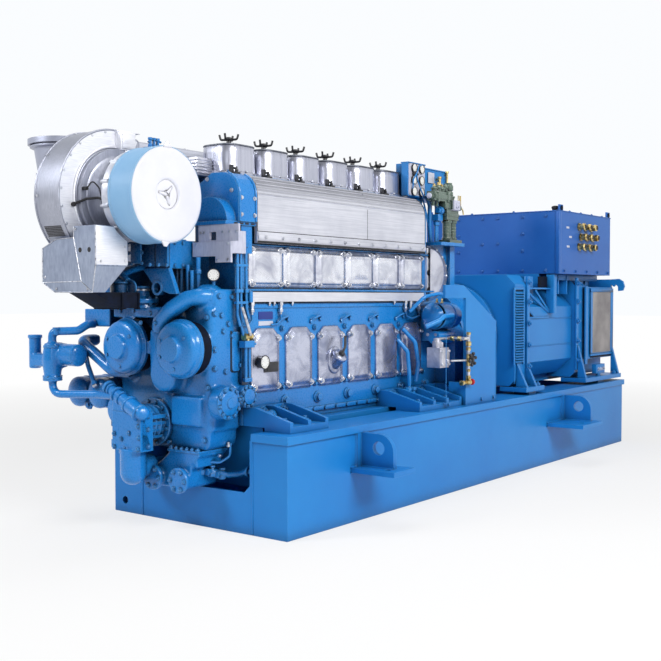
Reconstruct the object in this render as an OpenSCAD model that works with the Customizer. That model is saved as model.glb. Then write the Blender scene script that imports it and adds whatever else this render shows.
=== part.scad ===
// Diesel generating set: a six-cylinder in-line medium-speed engine and an
// alternator on one welded base frame.
// Origin: middle of the frame in plan, on its underside. +X runs to the
// alternator end, the camshaft side of the engine faces -Y, +Z is up.

/* [Base frame] */
// Length of the base frame
frame_len = 4575; // [4500:5:4700]
// Width of the base frame over its side plates
frame_w = 1316; // [1290:2:1360]
// Height of the side beams
beam_h = 498; // [460:2:520]
// Width of each side beam
beam_w = 237; // [200:1:240]
// Thickness of the top plate on each beam
rail_t = 42; // [30:1:50]
// Overhang of the top plate past the beam
rail_lip = 15; // [5:1:25]
// Thickness of the two end plates
end_plate_t = 16; // [10:1:25]
// Height of the low end plate at the pump end
low_plate_h = 220; // [180:5:240]
// Width of each cross beam
cross_w = 120; // [80:5:160]
// Thickness of the drip tray welded in between the beams
tray_t = 8; // [5:1:12]
// Diameter of the drain hole in the end of the far beam
drain_d = 45; // [30:1:60]
// Depth of the drain hole
drain_depth = 30; // [15:1:40]

/* [Mounting brackets] */
// Reach of the foot plate from the side beam
foot_out = 290; // [240:5:320]
// Thickness of the foot plate
foot_t = 28; // [20:1:36]
// Height of the underside of the foot plate
foot_z = 282; // [240:2:300]
// Length of the foot plate on the pump-end bracket
foot_len_1 = 210; // [180:5:260]
// Length of the foot plate on the alternator-end bracket
foot_len_2 = 370; // [300:5:400]
// Reach of the lifting plate from the side beam
lift_out = 226; // [200:2:240]
// Thickness of the lifting plate
lift_t = 30; // [20:1:40]
// Diameter of the lifting eye
eye_d = 78; // [60:1:90]
// Diameter of the holding-down bolt hole in a foot plate
foot_bolt_d = 33; // [26:1:39]

/* [Engine block] */
// Distance between neighbouring cylinders
cyl_pitch = 300; // [300:1:304]
// Length of the block beyond its cylinders, both ends together
block_over = 200; // [200:5:230]
// Distance from the frame's pump end to the engine block
block_set = 88; // [80:1:100]
// Half width of the crankcase
case_half = 270; // [262:1:280]
// Half width of the upper block
upper_half = 222; // [216:1:226]
// Height of the engine's underside
engine_z = 560; // [550:1:570]
// Height of the ledge on top of the crankcase
ledge_z = 1225; // [1215:1:1230]
// Height of the cylinder deck
deck_z = 1550; // [1545:1:1560]

/* [Covers] */
// Width of a crankcase cover
door_w = 236; // [220:1:245]
// Height of a crankcase cover
door_h = 350; // [330:1:360]
// Thickness of a crankcase cover
door_t = 30; // [20:1:34]
// Height of the lower edge of the crankcase covers
door_z = 735; // [725:1:745]
// Thickness of a camshaft cover
cam_t = 28; // [20:1:32]
// Width of a camshaft cover
cam_w = 288; // [270:1:294]
// Height of a camshaft cover
cam_h = 230; // [220:1:236]
// Height of the plain rail under the camshaft covers
strip_h = 54; // [40:1:60]
// Length of a rocker cover
rocker_len = 264; // [250:1:280]
// Depth of a rocker cover across the engine
rocker_dep = 282; // [270:1:300]
// Height of a rocker cover
rocker_h = 172; // [150:1:190]
// Corner radius of a rocker cover
rocker_r = 90; // [60:1:100]

/* [Hot box] */
// Height of the round shoulder of the hot box panel
shoulder_h = 129; // [100:1:140]
// Thickness of the hot box panel
panel_t = 22; // [14:1:26]
// Height of the cylinder heads over the deck, without their top plate
head_h = 382; // [375:1:390]
// Width of the exhaust duct
duct_w = 280; // [240:2:300]
// Height of the exhaust duct
duct_h = 400; // [340:2:420]

/* [Turbocharger] */
// Distance of the turbocharger axis from the engine block
turbo_set = 520; // [510:1:530]
// Height of the turbocharger axis
turbo_z = 1768; // [1762:1:1774]
// Radius of the air silencer
silencer_r = 243; // [220:1:250]
// Width of the air silencer
silencer_w = 180; // [150:1:190]
// Radius of the turbine insulation
lagging_r = 357; // [330:1:360]
// Width of the turbine insulation
lagging_w = 190; // [150:1:200]
// Radius of the exhaust flange
outlet_r = 195; // [180:1:200]
// Inner radius of the exhaust outlet
outlet_bore_r = 130; // [120:1:135]
// Depth of the open part of the exhaust outlet
outlet_depth = 110; // [90:1:120]
// Height of the exhaust flange face
outlet_z = 2105; // [2090:1:2130]

/* [Pumps and pipes] */
// Radius of a water pump cover
pump_r = 145; // [130:1:150]
// Distance between the two water pumps
pump_span = 415; // [400:1:430]
// Depth of the pump housing in front of the block
housing_dep = 220; // [210:1:230]
// Radius of the oil pump flange
oil_flange_r = 132; // [120:1:140]
// Radius of the cooling water pipe
pipe_r = 47; // [40:1:50]

/* [Alternator] */
// Distance from the frame's pump end to the alternator
alt_set = 2760; // [2750:5:2790]
// Length of the front end frame
front_ring_len = 215; // [200:1:230]
// Length of the stator barrel
barrel_len = 860; // [820:5:880]
// Half width of the end frames
ring_half = 540; // [520:1:560]
// Height of the top of the end frames
ring_top_z = 1420; // [1400:1:1430]
// Length of the rear housing
tail_len = 560; // [520:5:580]
// Length of the terminal box
box_len = 1030; // [980:5:1060]
// Half width of the terminal box
box_half = 600; // [560:1:620]
// Height of the terminal box
box_h = 490; // [460:1:520]

/* [Hidden] */

$fn = 64;
PAINT = "#2f80c8";
DARK_PAINT = "#34539b";
SILENCER_PAINT = "#84b4df";
CAST = "#c9cbd2";
PALE = "#e4e6ea";
SHEET = "#c9cade";
LAGGING = "#b6bac6";
BRASS = "#c9a45a";
VALVE_GREY = "#6c7d62";
BLACK = "#26272b";

hl = frame_len / 2;
hw = frame_w / 2;
rail_z = beam_h + rail_t;
beam_in = hw - beam_w;
bx0 = -hl + block_set;
cyl_n = 6;
block_len = cyl_n * cyl_pitch + block_over;
bx1 = bx0 + block_len;
cyl_0 = bx0 + 210;
function cyl_x(i) = cyl_0 + i * cyl_pitch;
run_0 = cyl_0 - cyl_pitch / 2 + 30;
run_len = cyl_n * cyl_pitch;
head_near = -130;
head_top_z = deck_z + head_h;
cover_z = head_top_z + 12;
turbo_x = bx0 - turbo_set;
silencer_y = -250;
lag_y = 150;
lag_far = lag_y + lagging_w;
housing_x = bx0 - housing_dep;
shaft_z = rail_z + 420;
pump_near = -case_half + 20;
ax0 = -hl + alt_set;
ax1 = ax0 + front_ring_len;
ax2 = ax1 + barrel_len;
ax3 = ax2 + 190;
ax4 = ax3 + tail_len;
barrel_top = shaft_z + 370;
tail_top = barrel_top + 10;
neck_half = ring_half - 110;
keel_half = ring_half - 240;
cross_xs = [-cross_w / 2, ax0 + 260, ax2 + 60];
box_x = ax1 + 415;
box_z = ring_top_z + 20;

// A box given by its lowest and highest corners.
module block(a, b) { translate(a) cube(b - a); }

// A plate in the YZ plane: outline points are [y, z].
module yz_plate(x, t, pts) {
    translate([x, 0, 0]) rotate([90, 0, 90]) linear_extrude(t) polygon(pts);
}

// A plate in the XZ plane: outline points are [x, z]; it grows towards +Y.
module xz_plate(y, t, pts) {
    translate([0, y + t, 0]) rotate([90, 0, 0]) linear_extrude(t) polygon(pts);
}

// Round bars along X, Y and Z from a starting point.
module bar_x(p, r, len) { translate(p) rotate([0, 90, 0]) cylinder(r = r, h = len); }
module bar_y(p, r, len) { translate(p) rotate([-90, 0, 0]) cylinder(r = r, h = len); }
module bar_z(p, r, len) { translate(p) cylinder(r = r, h = len); }

// A copy on each long side of the machine.
module both_sides() {
    children();
    mirror([0, 1, 0]) children();
}

// A rectangle with round corners, centred.
module round_rect(w, h, r) {
    union() {
        square([w - 2 * r, h], center = true);
        square([w, h - 2 * r], center = true);
        for (sx = [-1, 1], sy = [-1, 1])
            translate([sx * (w / 2 - r), sy * (h / 2 - r)]) circle(r);
    }
}

// Points of a pipe run: corners are rounded with bend radius b.
function unit(v) = v / norm(v);
function corner_pts(p, q, s, b) =
    let (u = unit(p - q), w = unit(s - q), turn = acos(u * w),
         cut = b / tan(turn / 2), axis = unit(u + w),
         mid = q + axis * (b / sin(turn / 2)),
         n0 = unit(q + u * cut - mid), n1 = unit(q + w * cut - mid),
         arc = 180 - turn, side = unit(n1 - n0 * cos(arc)))
    [for (k = [0:4]) mid + b * (n0 * cos(arc * k / 4) + side * sin(arc * k / 4))];
function run_pts(pts, b) =
    concat([pts[0]],
           [for (i = [1:1:len(pts) - 2]) each corner_pts(pts[i - 1], pts[i], pts[i + 1], b)],
           [pts[len(pts) - 1]]);
function tangent(p, i) = unit(p[min(i + 1, len(p) - 1)] - p[max(i - 1, 0)]);
function frames(p, i, n) =
    i == len(p) ? [] :
    let (t = tangent(p, i), m = unit(n - t * (n * t)))
    concat([[m, cross(t, m)]], frames(p, i + 1, m));

// A solid tube swept along a run of points, with sides flat faces round it.
module pipe_run(pts, r, b, sides = 12) {
    path = run_pts(pts, b);
    t0 = tangent(path, 0);
    seed = abs(t0[2]) < 0.9 ? [0, 0, 1] : [1, 0, 0];
    fr = frames(path, 0, seed);
    rings = len(path);
    ring_points = [for (i = [0:rings - 1], k = [0:sides - 1])
        path[i] + r * (fr[i][0] * cos(360 * k / sides) + fr[i][1] * sin(360 * k / sides))];
    walls = [for (i = [0:rings - 2], k = [0:sides - 1])
        let (a = i * sides + k, c = i * sides + (k + 1) % sides)
        [a, a + sides, c + sides, c]];
    caps = [[for (k = [0:sides - 1]) k],
            [for (k = [sides - 1:-1:0]) (rings - 1) * sides + k]];
    polyhedron(ring_points, concat(walls, caps), convexity = 6);
}

// ---------------------------------------------------------------- base frame

// Two long box beams joined by cross beams and, underneath, by a drip tray.
module frame_beams() {
    color(PAINT)
        difference() {
            both_sides() block([-hl, beam_in, 0], [hl, hw, beam_h]);
            bar_x([-hl - 1, hw - 88, 70], drain_d / 2, drain_depth + 1);
        }
}

module cross_beams() {
    color(PAINT)
        for (x = cross_xs)
            block([x, -beam_in, 0], [x + cross_w, beam_in, beam_h]);
}

// Floor plates that close the four bays between the end plates and cross beams.
module drip_tray() {
    starts = concat([-hl + end_plate_t], [for (x = cross_xs) x + cross_w]);
    ends = concat(cross_xs, [hl - end_plate_t]);
    color(PAINT)
        for (i = [0:len(starts) - 1])
            block([starts[i], -beam_in, 0], [ends[i], beam_in, tray_t]);
}

module top_plates() {
    color(PAINT)
        both_sides()
            block([-hl - rail_lip, beam_in, beam_h], [hl + rail_lip, hw + rail_lip, rail_z]);
}

module end_plates() {
    post_w = 20;
    fillet = 40;
    color(PAINT) {
        yz_plate(-hl, end_plate_t,
                 [[-beam_in, 0], [beam_in, 0], [beam_in, beam_h],
                  [beam_in - post_w, beam_h], [beam_in - post_w, low_plate_h + fillet],
                  [beam_in - post_w - fillet, low_plate_h],
                  [-beam_in + post_w + fillet, low_plate_h],
                  [-beam_in + post_w, low_plate_h + fillet],
                  [-beam_in + post_w, beam_h], [-beam_in, beam_h]]);
        block([hl - end_plate_t, -beam_in, 0], [hl, beam_in, beam_h]);
    }
}

// A foot plate with a lifting plate standing on it; the two are welded to a
// pad on the beam side. gap is the lifting plate's distance from the -X edge.
module bracket(x, len, gap) {
    eye_y = lift_out * 0.56;
    eye_z = foot_z + foot_t + 108;
    lift_h = beam_h - foot_z - foot_t;
    top_r = 100;
    difference() {
        union() {
            block([x - gap, 0, foot_z], [x - gap + len, foot_out, foot_z + foot_t]);
            yz_plate(x - lift_t / 2, lift_t,
                     concat([[0, foot_z + foot_t], [lift_out, foot_z + foot_t]],
                            [for (a = [0:15:90])
                                [lift_out - top_r + top_r * cos(a),
                                 foot_z + foot_t + lift_h - top_r + top_r * sin(a)]],
                            [[0, foot_z + foot_t + lift_h]]));
            block([x - 55, 0, foot_z + foot_t], [x + 55, 12, beam_h]);
        }
        bar_x([x - lift_t, eye_y, eye_z], eye_d / 2, 2 * lift_t);
        bar_z([x - gap / 2, foot_out - 75, foot_z - 1], foot_bolt_d / 2, foot_t + 2);
    }
}

module mounting_brackets() {
    color(PAINT)
        both_sides()
            translate([0, hw, 0]) {
                bracket(-hl + 657, foot_len_1, foot_len_1 / 2);
                bracket(-hl + 3372, foot_len_2, foot_len_2 - 65);
            }
}

// -------------------------------------------------------------------- engine

module oil_sump() {
    half = beam_in - 60;
    color(PAINT)
        xz_plate(-half, 2 * half,
                 [[bx0 + 60, engine_z], [bx1 - 60, engine_z], [bx1 - 60, 200],
                  [bx1 - 200, 120], [bx0 + 300, 120], [bx0 + 140, 200]]);
}

module engine_block() {
    color(PAINT)
        yz_plate(bx0, block_len,
                 [[-case_half, engine_z], [case_half, engine_z], [case_half, ledge_z],
                  [upper_half, ledge_z], [upper_half, deck_z], [-upper_half, deck_z],
                  [-upper_half, ledge_z], [-case_half, ledge_z]]);
}

// Feet carry the block on the top plates: a sole plate, a pad bolted to the
// block side and ribs between them.
module engine_foot(x, len, out, ribs) {
    sole_t = 34;
    rib_t = 26;
    pad_t = 30;
    pad_z = rail_z + 120;
    step = (len - rib_t) / (ribs - 1);
    union() {
        block([x, case_half, rail_z + sole_t - 14], [x + len, out, rail_z + sole_t]);
        block([x, beam_in, rail_z], [x + len, out, rail_z + sole_t]);
        block([x, case_half, rail_z + sole_t - 14], [x + len, case_half + pad_t, pad_z]);
        for (k = [0:ribs - 1])
            yz_plate(x + k * step, rib_t,
                     [[case_half, rail_z + sole_t], [out, rail_z + sole_t],
                      [out, rail_z + sole_t + 24], [case_half + 90, pad_z],
                      [case_half, pad_z]]);
    }
}
module engine_feet() {
    color(PAINT)
        both_sides() {
            engine_foot(bx0 + 10, 330, hw - 60, 3);
            union() {
                engine_foot(bx1 - 720, 520, hw - 60, 4);
                engine_foot(bx1 - 226, 220, hw - 180, 2);
            }
        }
}

module crankcase_cover() {
    cut = 46;
    rim = 26;
    flange_t = door_t * 0.6;
    rotate([90, 0, 0])
        union() {
            linear_extrude(flange_t)
                polygon([[-door_w / 2, 0], [door_w / 2, 0], [door_w / 2, door_h - cut],
                         [door_w / 2 - cut, door_h], [-door_w / 2 + cut, door_h],
                         [-door_w / 2, door_h - cut]]);
            linear_extrude(door_t)
                polygon([[-door_w / 2 + rim, rim], [door_w / 2 - rim, rim],
                         [door_w / 2 - rim, door_h - cut - 14],
                         [door_w / 2 - cut - 14, door_h - rim],
                         [-door_w / 2 + cut + 14, door_h - rim],
                         [-door_w / 2 + rim, door_h - cut - 14]]);
        }
}
module crankcase_covers() {
    color(CAST)
        both_sides()
            for (i = [0:cyl_n - 1])
                translate([cyl_x(i) - 30, -case_half, door_z]) crankcase_cover();
}

module camshaft_covers() {
    edge = 24;
    color(CAST)
        for (i = [0:cyl_n - 1])
            translate([cyl_x(i) + 32, -upper_half, ledge_z + 85 + cam_h / 2])
                rotate([90, 0, 0]) union() {
                    linear_extrude(cam_t / 2) round_rect(cam_w, cam_h, 20);
                    linear_extrude(cam_t) round_rect(cam_w - 2 * edge, cam_h - 2 * edge, 16);
                }
}

module cover_rail() {
    color(PALE)
        block([run_0 - 37, -case_half - door_t, ledge_z + 6],
              [run_0 + run_len - 85, -case_half, ledge_z + 6 + strip_h]);
}

// ------------------------------------------------------------------- hot box

// Outline of the camshaft-side panel, [y, z]: upright, then a round shoulder.
panel_y = -case_half - 18;
panel_z = deck_z + 3;
shoulder_z = head_top_z - shoulder_h;
top_y = head_near - 20;
panel_x0 = run_0 + 16;
panel_x1 = panel_x0 + run_len - 70;
function shoulder(inset) =
    [for (a = [0:15:75])
        [panel_y + inset + (top_y - panel_y - 20) * (1 - cos(a)),
         shoulder_z + (head_top_z - shoulder_z - inset) * sin(a)]];
function panel_outline() =
    concat([[panel_y + panel_t, panel_z], [panel_y, panel_z]], shoulder(0),
           [[top_y, head_top_z], [top_y, head_top_z - panel_t]],
           [for (i = [5:-1:0]) shoulder(panel_t)[i]]);

module hot_box_panel() {
    color(PALE) yz_plate(panel_x0, panel_x1 - panel_x0, panel_outline());
}

// The cast cap at the pump end has a round bulge and a foot on the block; a
// plain plate closes the other end.
module hot_box_end_caps() {
    cap_w = 150;
    front = panel_x0 - cap_w;
    bulge_r = 138;
    bulge_z = panel_z + 105;
    ledge_bot = panel_z + 90;
    far_y = top_y + 160;
    color(PAINT) {
        difference() {
            union() {
                yz_plate(front, cap_w,
                         concat([[panel_y, ledge_bot + 20]], shoulder(0),
                                [[top_y, head_top_z], [top_y + 60, head_top_z],
                                 [far_y, head_top_z - 60], [far_y, ledge_bot + 20]]));
                intersection() {
                    bar_x([front - 70, panel_y + 20 + bulge_r, bulge_z], bulge_r, 80);
                    block([front - 80, panel_y, ledge_bot], [front + 20, 200, bulge_z + bulge_r]);
                }
                block([front - 90, panel_y + 10, ledge_bot], [panel_x0, far_y + 10, ledge_bot + 20]);
                block([bx0, panel_y + 20, panel_z - 60], [panel_x0 - 20, -upper_half, ledge_bot]);
            }
            block([cyl_x(0) - 135, head_near, deck_z], [cyl_x(0), 100, cover_z]);
        }
        yz_plate(panel_x1, 12,
                 concat([[-upper_half, panel_z], [panel_y, panel_z]], shoulder(0),
                        [[top_y, head_top_z], [head_near, head_top_z], [head_near, panel_z]]));
    }
}

module cylinder_heads() {
    half = 135;
    color(PAINT)
        for (i = [0:cyl_n - 1])
            block([cyl_x(i) - half, head_near, deck_z],
                  [cyl_x(i) + half, head_near + rocker_dep, cover_z]);
}

module rocker_covers() {
    color(CAST) {
        for (i = [0:cyl_n - 1])
            translate([cyl_x(i) - 5, head_near + rocker_dep / 2, cover_z]) union() {
                linear_extrude(rocker_h) round_rect(rocker_len, rocker_dep, rocker_r);
                linear_extrude(rocker_h + 12)
                    round_rect(rocker_len - 34, rocker_dep - 34, rocker_r - 17);
            }
        block([cyl_x(0) - 262, 10, head_top_z - 4], [cyl_x(0) - 142, 130, head_top_z + 96]);
    }
}

module cover_handles() {
    color(BLACK)
        for (i = [0:cyl_n - 1])
            translate([cyl_x(i) - 5, head_near + rocker_dep / 2, cover_z + rocker_h + 12])
                union() {
                    cylinder(r = 14, h = 20);
                    translate([0, 0, 20]) cylinder(r = 26, h = 14);
                    for (a = [0:90:270]) rotate(a)
                        translate([20, 0, 27]) rotate([0, 80, 0]) cylinder(r = 8, h = 36);
                }
}

// The lagged duct collects the exhaust and narrows towards the turbocharger.
module exhaust_duct() {
    y0 = head_near + rocker_dep;
    y1 = y0 + duct_w;
    z1 = outlet_z;
    z0 = z1 - duct_h;
    xs = turbo_x + lag_flat;
    r = 110;
    color(LAGGING)
        intersection() {
            translate([0, 0, z0]) linear_extrude(duct_h)
                polygon([[xs, lag_y], [bx0 - 60, lag_y], [cyl_x(0) - 150, y0], [bx1 - 120, y0],
                         [bx1 - 60, y0 + 60], [bx1 - 60, y1], [bx0, y1], [xs, lag_far]]);
            yz_plate(xs, bx1 - xs,
                     concat([[lag_y - 5, z0], [y1, z0]],
                            [for (a = [0:15:90]) [y1 - r + r * cos(a), z1 - r + r * sin(a)]],
                            [for (a = [0:15:90])
                                [lag_y - 5 + r - r * sin(a), z1 - r + r * cos(a)]]));
        }
}

// -------------------------------------------------------------- turbocharger

// Distance from the turbocharger axis to the flat the duct is joined to.
lag_flat = 175;

module turbine_insulation() {
    neck_r = 254;
    neck_w = 40;
    color(LAGGING)
        difference() {
            union() {
                bar_y([turbo_x, lag_y, turbo_z], lagging_r, lagging_w);
                bar_y([turbo_x, lag_y - neck_w, turbo_z], neck_r, neck_w);
            }
            block([turbo_x + lag_flat, lag_y - 60, turbo_z - 400],
                  [turbo_x + 500, lag_far + 10, turbo_z + 400]);
        }
}

module turbo_centre_housing() {
    reach = lag_y - 40 - silencer_y - silencer_w;
    color(CAST)
        translate([turbo_x, silencer_y + silencer_w, turbo_z]) rotate([-90, 0, 0])
            rotate_extrude()
                polygon([[0, 0], [222, 0], [222, 30], [205, 50], [180, 70], [150, 110],
                         [125, 130], [125, reach], [0, reach]]);
}

module air_silencer() {
    color(SILENCER_PAINT)
        translate([turbo_x, silencer_y, turbo_z]) rotate([-90, 0, 0])
            rotate_extrude()
                polygon([[0, 16], [60, 16], [90, 8], [96, 0], [silencer_r - 12, 0],
                         [silencer_r, 12], [silencer_r, silencer_w - 10],
                         [silencer_r - 10, silencer_w], [0, silencer_w]]);
}

// A stub from the turbine, a neck that widens upward and an open flange.
module exhaust_outlet() {
    cy = lag_far + 210;
    flange_t = 30;
    color(LAGGING)
        difference() {
            union() {
                bar_y([turbo_x, lag_far, turbo_z], 118, 210);
                translate([turbo_x, cy, turbo_z]) sphere(118);
                translate([turbo_x, cy, turbo_z])
                    cylinder(r1 = 118, r2 = 165, h = outlet_z - turbo_z - flange_t);
                bar_z([turbo_x, cy, outlet_z - flange_t], outlet_r, flange_t);
            }
            bar_z([turbo_x, cy, outlet_z - outlet_depth], outlet_bore_r, outlet_depth + 1);
        }
}

// A folded cover below the turbine, cut to clear the round insulation.
module heat_shield() {
    x0 = turbo_x - 310;
    x1 = x0 + 205;
    y0 = -68;
    color(LAGGING)
        difference() {
            intersection() {
                translate([0, 0, turbo_z])
                    yz_plate(x0, x1 - x0,
                             [[y0, -160], [y0 + 164, -160], [y0 + 164, -215], [y0 + 303, -220],
                              [y0 + 412, -264], [y0 + 412, -437], [y0 + 314, -487],
                              [y0 + 25, -488], [y0, -355]]);
                translate([0, 0, turbo_z])
                    xz_plate(y0 - 1, 500, [[x0, -508], [x0 + 60, -508], [x1, -348], [x1, -168],
                                           [x0 + 90, -150], [x0, -150]]);
            }
            bar_y([turbo_x, y0 - 1, turbo_z], 254, lag_y - y0 + 1);
            bar_y([turbo_x, lag_y, turbo_z], lagging_r, 500);
        }
}

top_casting_z = ledge_z - 30;

// The cooler casing with two end covers, on brackets that also hold up the
// turbocharger.
module air_cooler() {
    x0 = bx0 - 300;
    y0 = -30;
    far = 440;
    casing_z = deck_z - 140;
    bracket_z = top_casting_z + 10;
    eye_y = 53;
    eye_z = casing_z - 104;
    color(PAINT)
        difference() {
            union() {
                block([x0, y0, casing_z], [bx0, far, deck_z + 10]);
                block([x0 + 140, y0, top_casting_z], [bx0, far, casing_z]);
                block([x0 - 14, 75, casing_z + 12], [x0, 190, deck_z]);
                block([x0 - 14, y0 + 4, casing_z + 12], [x0, 63, deck_z]);
                block([x0 - 70, 280, bracket_z], [x0 + 140, far, casing_z]);
                block([x0 - 190, 280, casing_z - 70], [x0 - 70, far, casing_z]);
                yz_plate(x0 - 10, 26,
                         [[205, deck_z], [228, deck_z], [200, casing_z + 30], [92, eye_z + 24],
                          [eye_y, eye_z - 6], [-40, eye_z - 32], [-90, eye_z - 32],
                          [y0, casing_z], [150, casing_z], [182, casing_z + 40]]);
                bar_x([x0 - 16, eye_y, eye_z], 40, 32);
            }
            bar_x([x0 - 30, eye_y, eye_z], 27, 70);
        }
}

// ------------------------------------------------------------ pump end piping

boss_x = housing_x + 40;
housing_far = 450;
plate_x = bx0 - 130;
pump_z = top_casting_z - 210;
housing_z0 = engine_z - 120;

far_box_z = pump_z + 105;

module pump_housing() {
    edge_r = 40;
    side_cover_r = 86;
    far = housing_far;
    color(PAINT)
        union() {
            translate([0, 0, rail_z + 5]) linear_extrude(top_casting_z - rail_z - 5)
                polygon(concat([[bx0, pump_near]],
                               [for (a = [0:15:90])
                                   [housing_x + edge_r - edge_r * sin(a),
                                    pump_near + edge_r - edge_r * cos(a)]],
                               [[housing_x, far], [bx0, far]]));
            yz_plate(housing_x + 6, bx0 - housing_x - 6,
                     [[pump_near + 65, housing_z0], [far - 120, housing_z0],
                      [far - 120, rail_z + 5], [pump_near + 20, rail_z + 5],
                      [pump_near + 20, housing_z0 + 50], [pump_near + 32, housing_z0 + 18]]);
            block([boss_x, pump_near, top_casting_z], [bx0, head_near + 20, top_casting_z + 105]);
            block([housing_x - 80, far, far_box_z], [bx0, far + 215, top_casting_z - 5]);
            block([housing_x - 30, pump_near + 50, rail_z + 30], [housing_x, 20, rail_z + 190]);
            bar_y([housing_x + 55, pump_near - 75, rail_z + 160], side_cover_r, 75);
            bar_y([housing_x + 55, pump_near - 85, rail_z + 160], side_cover_r - 22, 10);
            block([bx0 - 62, -case_half, rail_z + 120], [bx0, pump_near, rail_z + 244]);
            bar_y([bx0, -case_half - 40, rail_z + 182], 62, 40);
        }
}

pump_y1 = -120;
pump_y2 = pump_y1 + pump_span;

// A volute on the housing, a ring flange and a stepped round cover.
module water_pump(y) {
    ring_r = pump_r + 11;
    translate([housing_x, y, pump_z]) rotate([0, -90, 0])
        rotate_extrude()
            polygon([[0, 0], [120, 0], [120, 80], [ring_r, 80], [ring_r, 100], [pump_r, 100],
                     [pump_r, 128], [pump_r - 14, 144], [pump_r - 26, 150], [66, 154],
                     [62, 180], [0, 180]]);
}
module water_pumps() {
    outlet_y = 37;
    outlet_z0 = pump_z - 140;
    branch_x = housing_x - 100;
    color(PAINT)
        union() {
            water_pump(pump_y1);
            water_pump(pump_y2);
            block([housing_x - 78, outlet_y - 97, outlet_z0], [housing_x, outlet_y + 96, pump_z + 95]);
            bar_x([housing_x - 78, outlet_y, outlet_z0], 97, 78);
            pipe_run([[branch_x + 30, 290, pump_z - 140], [branch_x, 400, pump_z - 136],
                      [branch_x, 682, pump_z + 24], [branch_x + 130, 690, pump_z + 24]],
                     pipe_r - 12, 60);
        }
}

module thermostat_housing() {
    cx = housing_x - 70;
    cy = 190;
    z0 = pump_z + 160;
    color(PAINT) {
        union() {
            block([housing_x - 80, -55, z0], [housing_x, 420, top_casting_z + 10]);
            bar_z([cx, cy, top_casting_z], 60, 30);
            bar_z([cx, cy, top_casting_z + 30], 84, 22);
            bar_z([cx, cy, top_casting_z + 52], 34, 68);
            pipe_run([[housing_x - 70, 45, z0 - 5], [housing_x - 78, -45, z0 + 35],
                      [housing_x - 40, -130, top_casting_z + 50],
                      [housing_x - 8, -196, top_casting_z + 60],
                      [boss_x, -196, top_casting_z + 60]], pipe_r - 7, 50);
        }
    }
}

// The manifold along the far side takes the water from each cylinder head;
// two thin tubes stand on the pump housing beside the air cooler.
module water_manifold() {
    y0 = upper_half + pipe_r + 24;
    z0 = ledge_z + 150;
    color(PAINT) {
        union() {
            bar_x([bx0, y0, z0], pipe_r, block_len - 120);
            bar_x([bx1 - 140, y0, z0], pipe_r + 22, 20);
            for (i = [0:cyl_n - 1]) {
                bar_y([cyl_x(i) + 40, upper_half, z0], pipe_r - 12, pipe_r + 24);
                bar_x([cyl_x(i) - 130, y0, z0], pipe_r + 14, 26);
            }
        }
        for (k = [0:1])
            bar_z([housing_x + 25, -58 - 30 * k, top_casting_z], 11, 235 - 30 * k);
    }
}

module oil_pump() {
    px = housing_x;
    py = 168;
    pz = rail_z + 35;
    valve_x = px - 220;
    elbow_r = 70;
    color(PAINT)
        union() {
            bar_x([px - 24, py, pz], oil_flange_r, 24);
            bar_x([px - 142, py, pz], 92, 130);
            for (k = [0:2]) bar_x([px - 60 - 34 * k, py, pz], 104, 12);
            block([valve_x, py - 118, pz - 138], [px - 140, py + 102, pz + 92]);
            block([valve_x, py + 22, pz + 25], [px - 160, py + 102, pz + 157]);
            bar_z([valve_x + 45, py - 10, pz - 255], elbow_r, 130);
            translate([valve_x + 45, py - 10, pz - 255]) sphere(elbow_r);
            pipe_run([[valve_x + 45, py - 10, pz - 275], [px - 30, 300, pz - 275],
                      [px + 110, 300, pz - 275]], 48, 60);
            difference() {
                bar_x([px + 110, 300, pz - 275], 48, bx0 - px);
                oil_sump();
            }
        }
}

// Two flanged branches side by side, joined in one casting under the housing.
module twin_branch_pipe() {
    ends = -hl - 212;
    branch_z = low_plate_h + 63;
    root_x = ends + 50;
    top_z = housing_z0;
    color(PAINT)
        union() {
            for (y = [118, -77]) {
                bar_x([ends, y, branch_z], 65, 18);
                bar_x([ends + 10, y, branch_z], 50, 100);
            }
            yz_plate(root_x, 210,
                     [[-190, top_z - 24], [-190, top_z], [40, top_z], [40, top_z - 24],
                      [90, branch_z + 92], [160, branch_z + 47], [160, branch_z - 33],
                      [135, branch_z - 51], [-95, branch_z - 51], [-120, branch_z - 33],
                      [-130, branch_z + 80], [-160, branch_z + 110]]);
        }
}

// ------------------------------------------------- far side of the pump end

module oil_filter_module() {
    x0 = housing_x + 40;
    y0 = housing_far;
    filter_z = pump_z - 270;
    color(PAINT)
        union() {
            block([x0, y0, filter_z - 110], [bx0, y0 + 110, pump_z + 85]);
            for (y = [y0 + 88, y0 + 262]) {
                bar_x([x0 - 120, y, filter_z], 86, 300);
                bar_x([x0 - 144, y, filter_z], 70, 30);
            }
            block([x0, y0 + 90, filter_z - 40], [bx0, y0 + 300, filter_z + 40]);
        }
}

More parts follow.
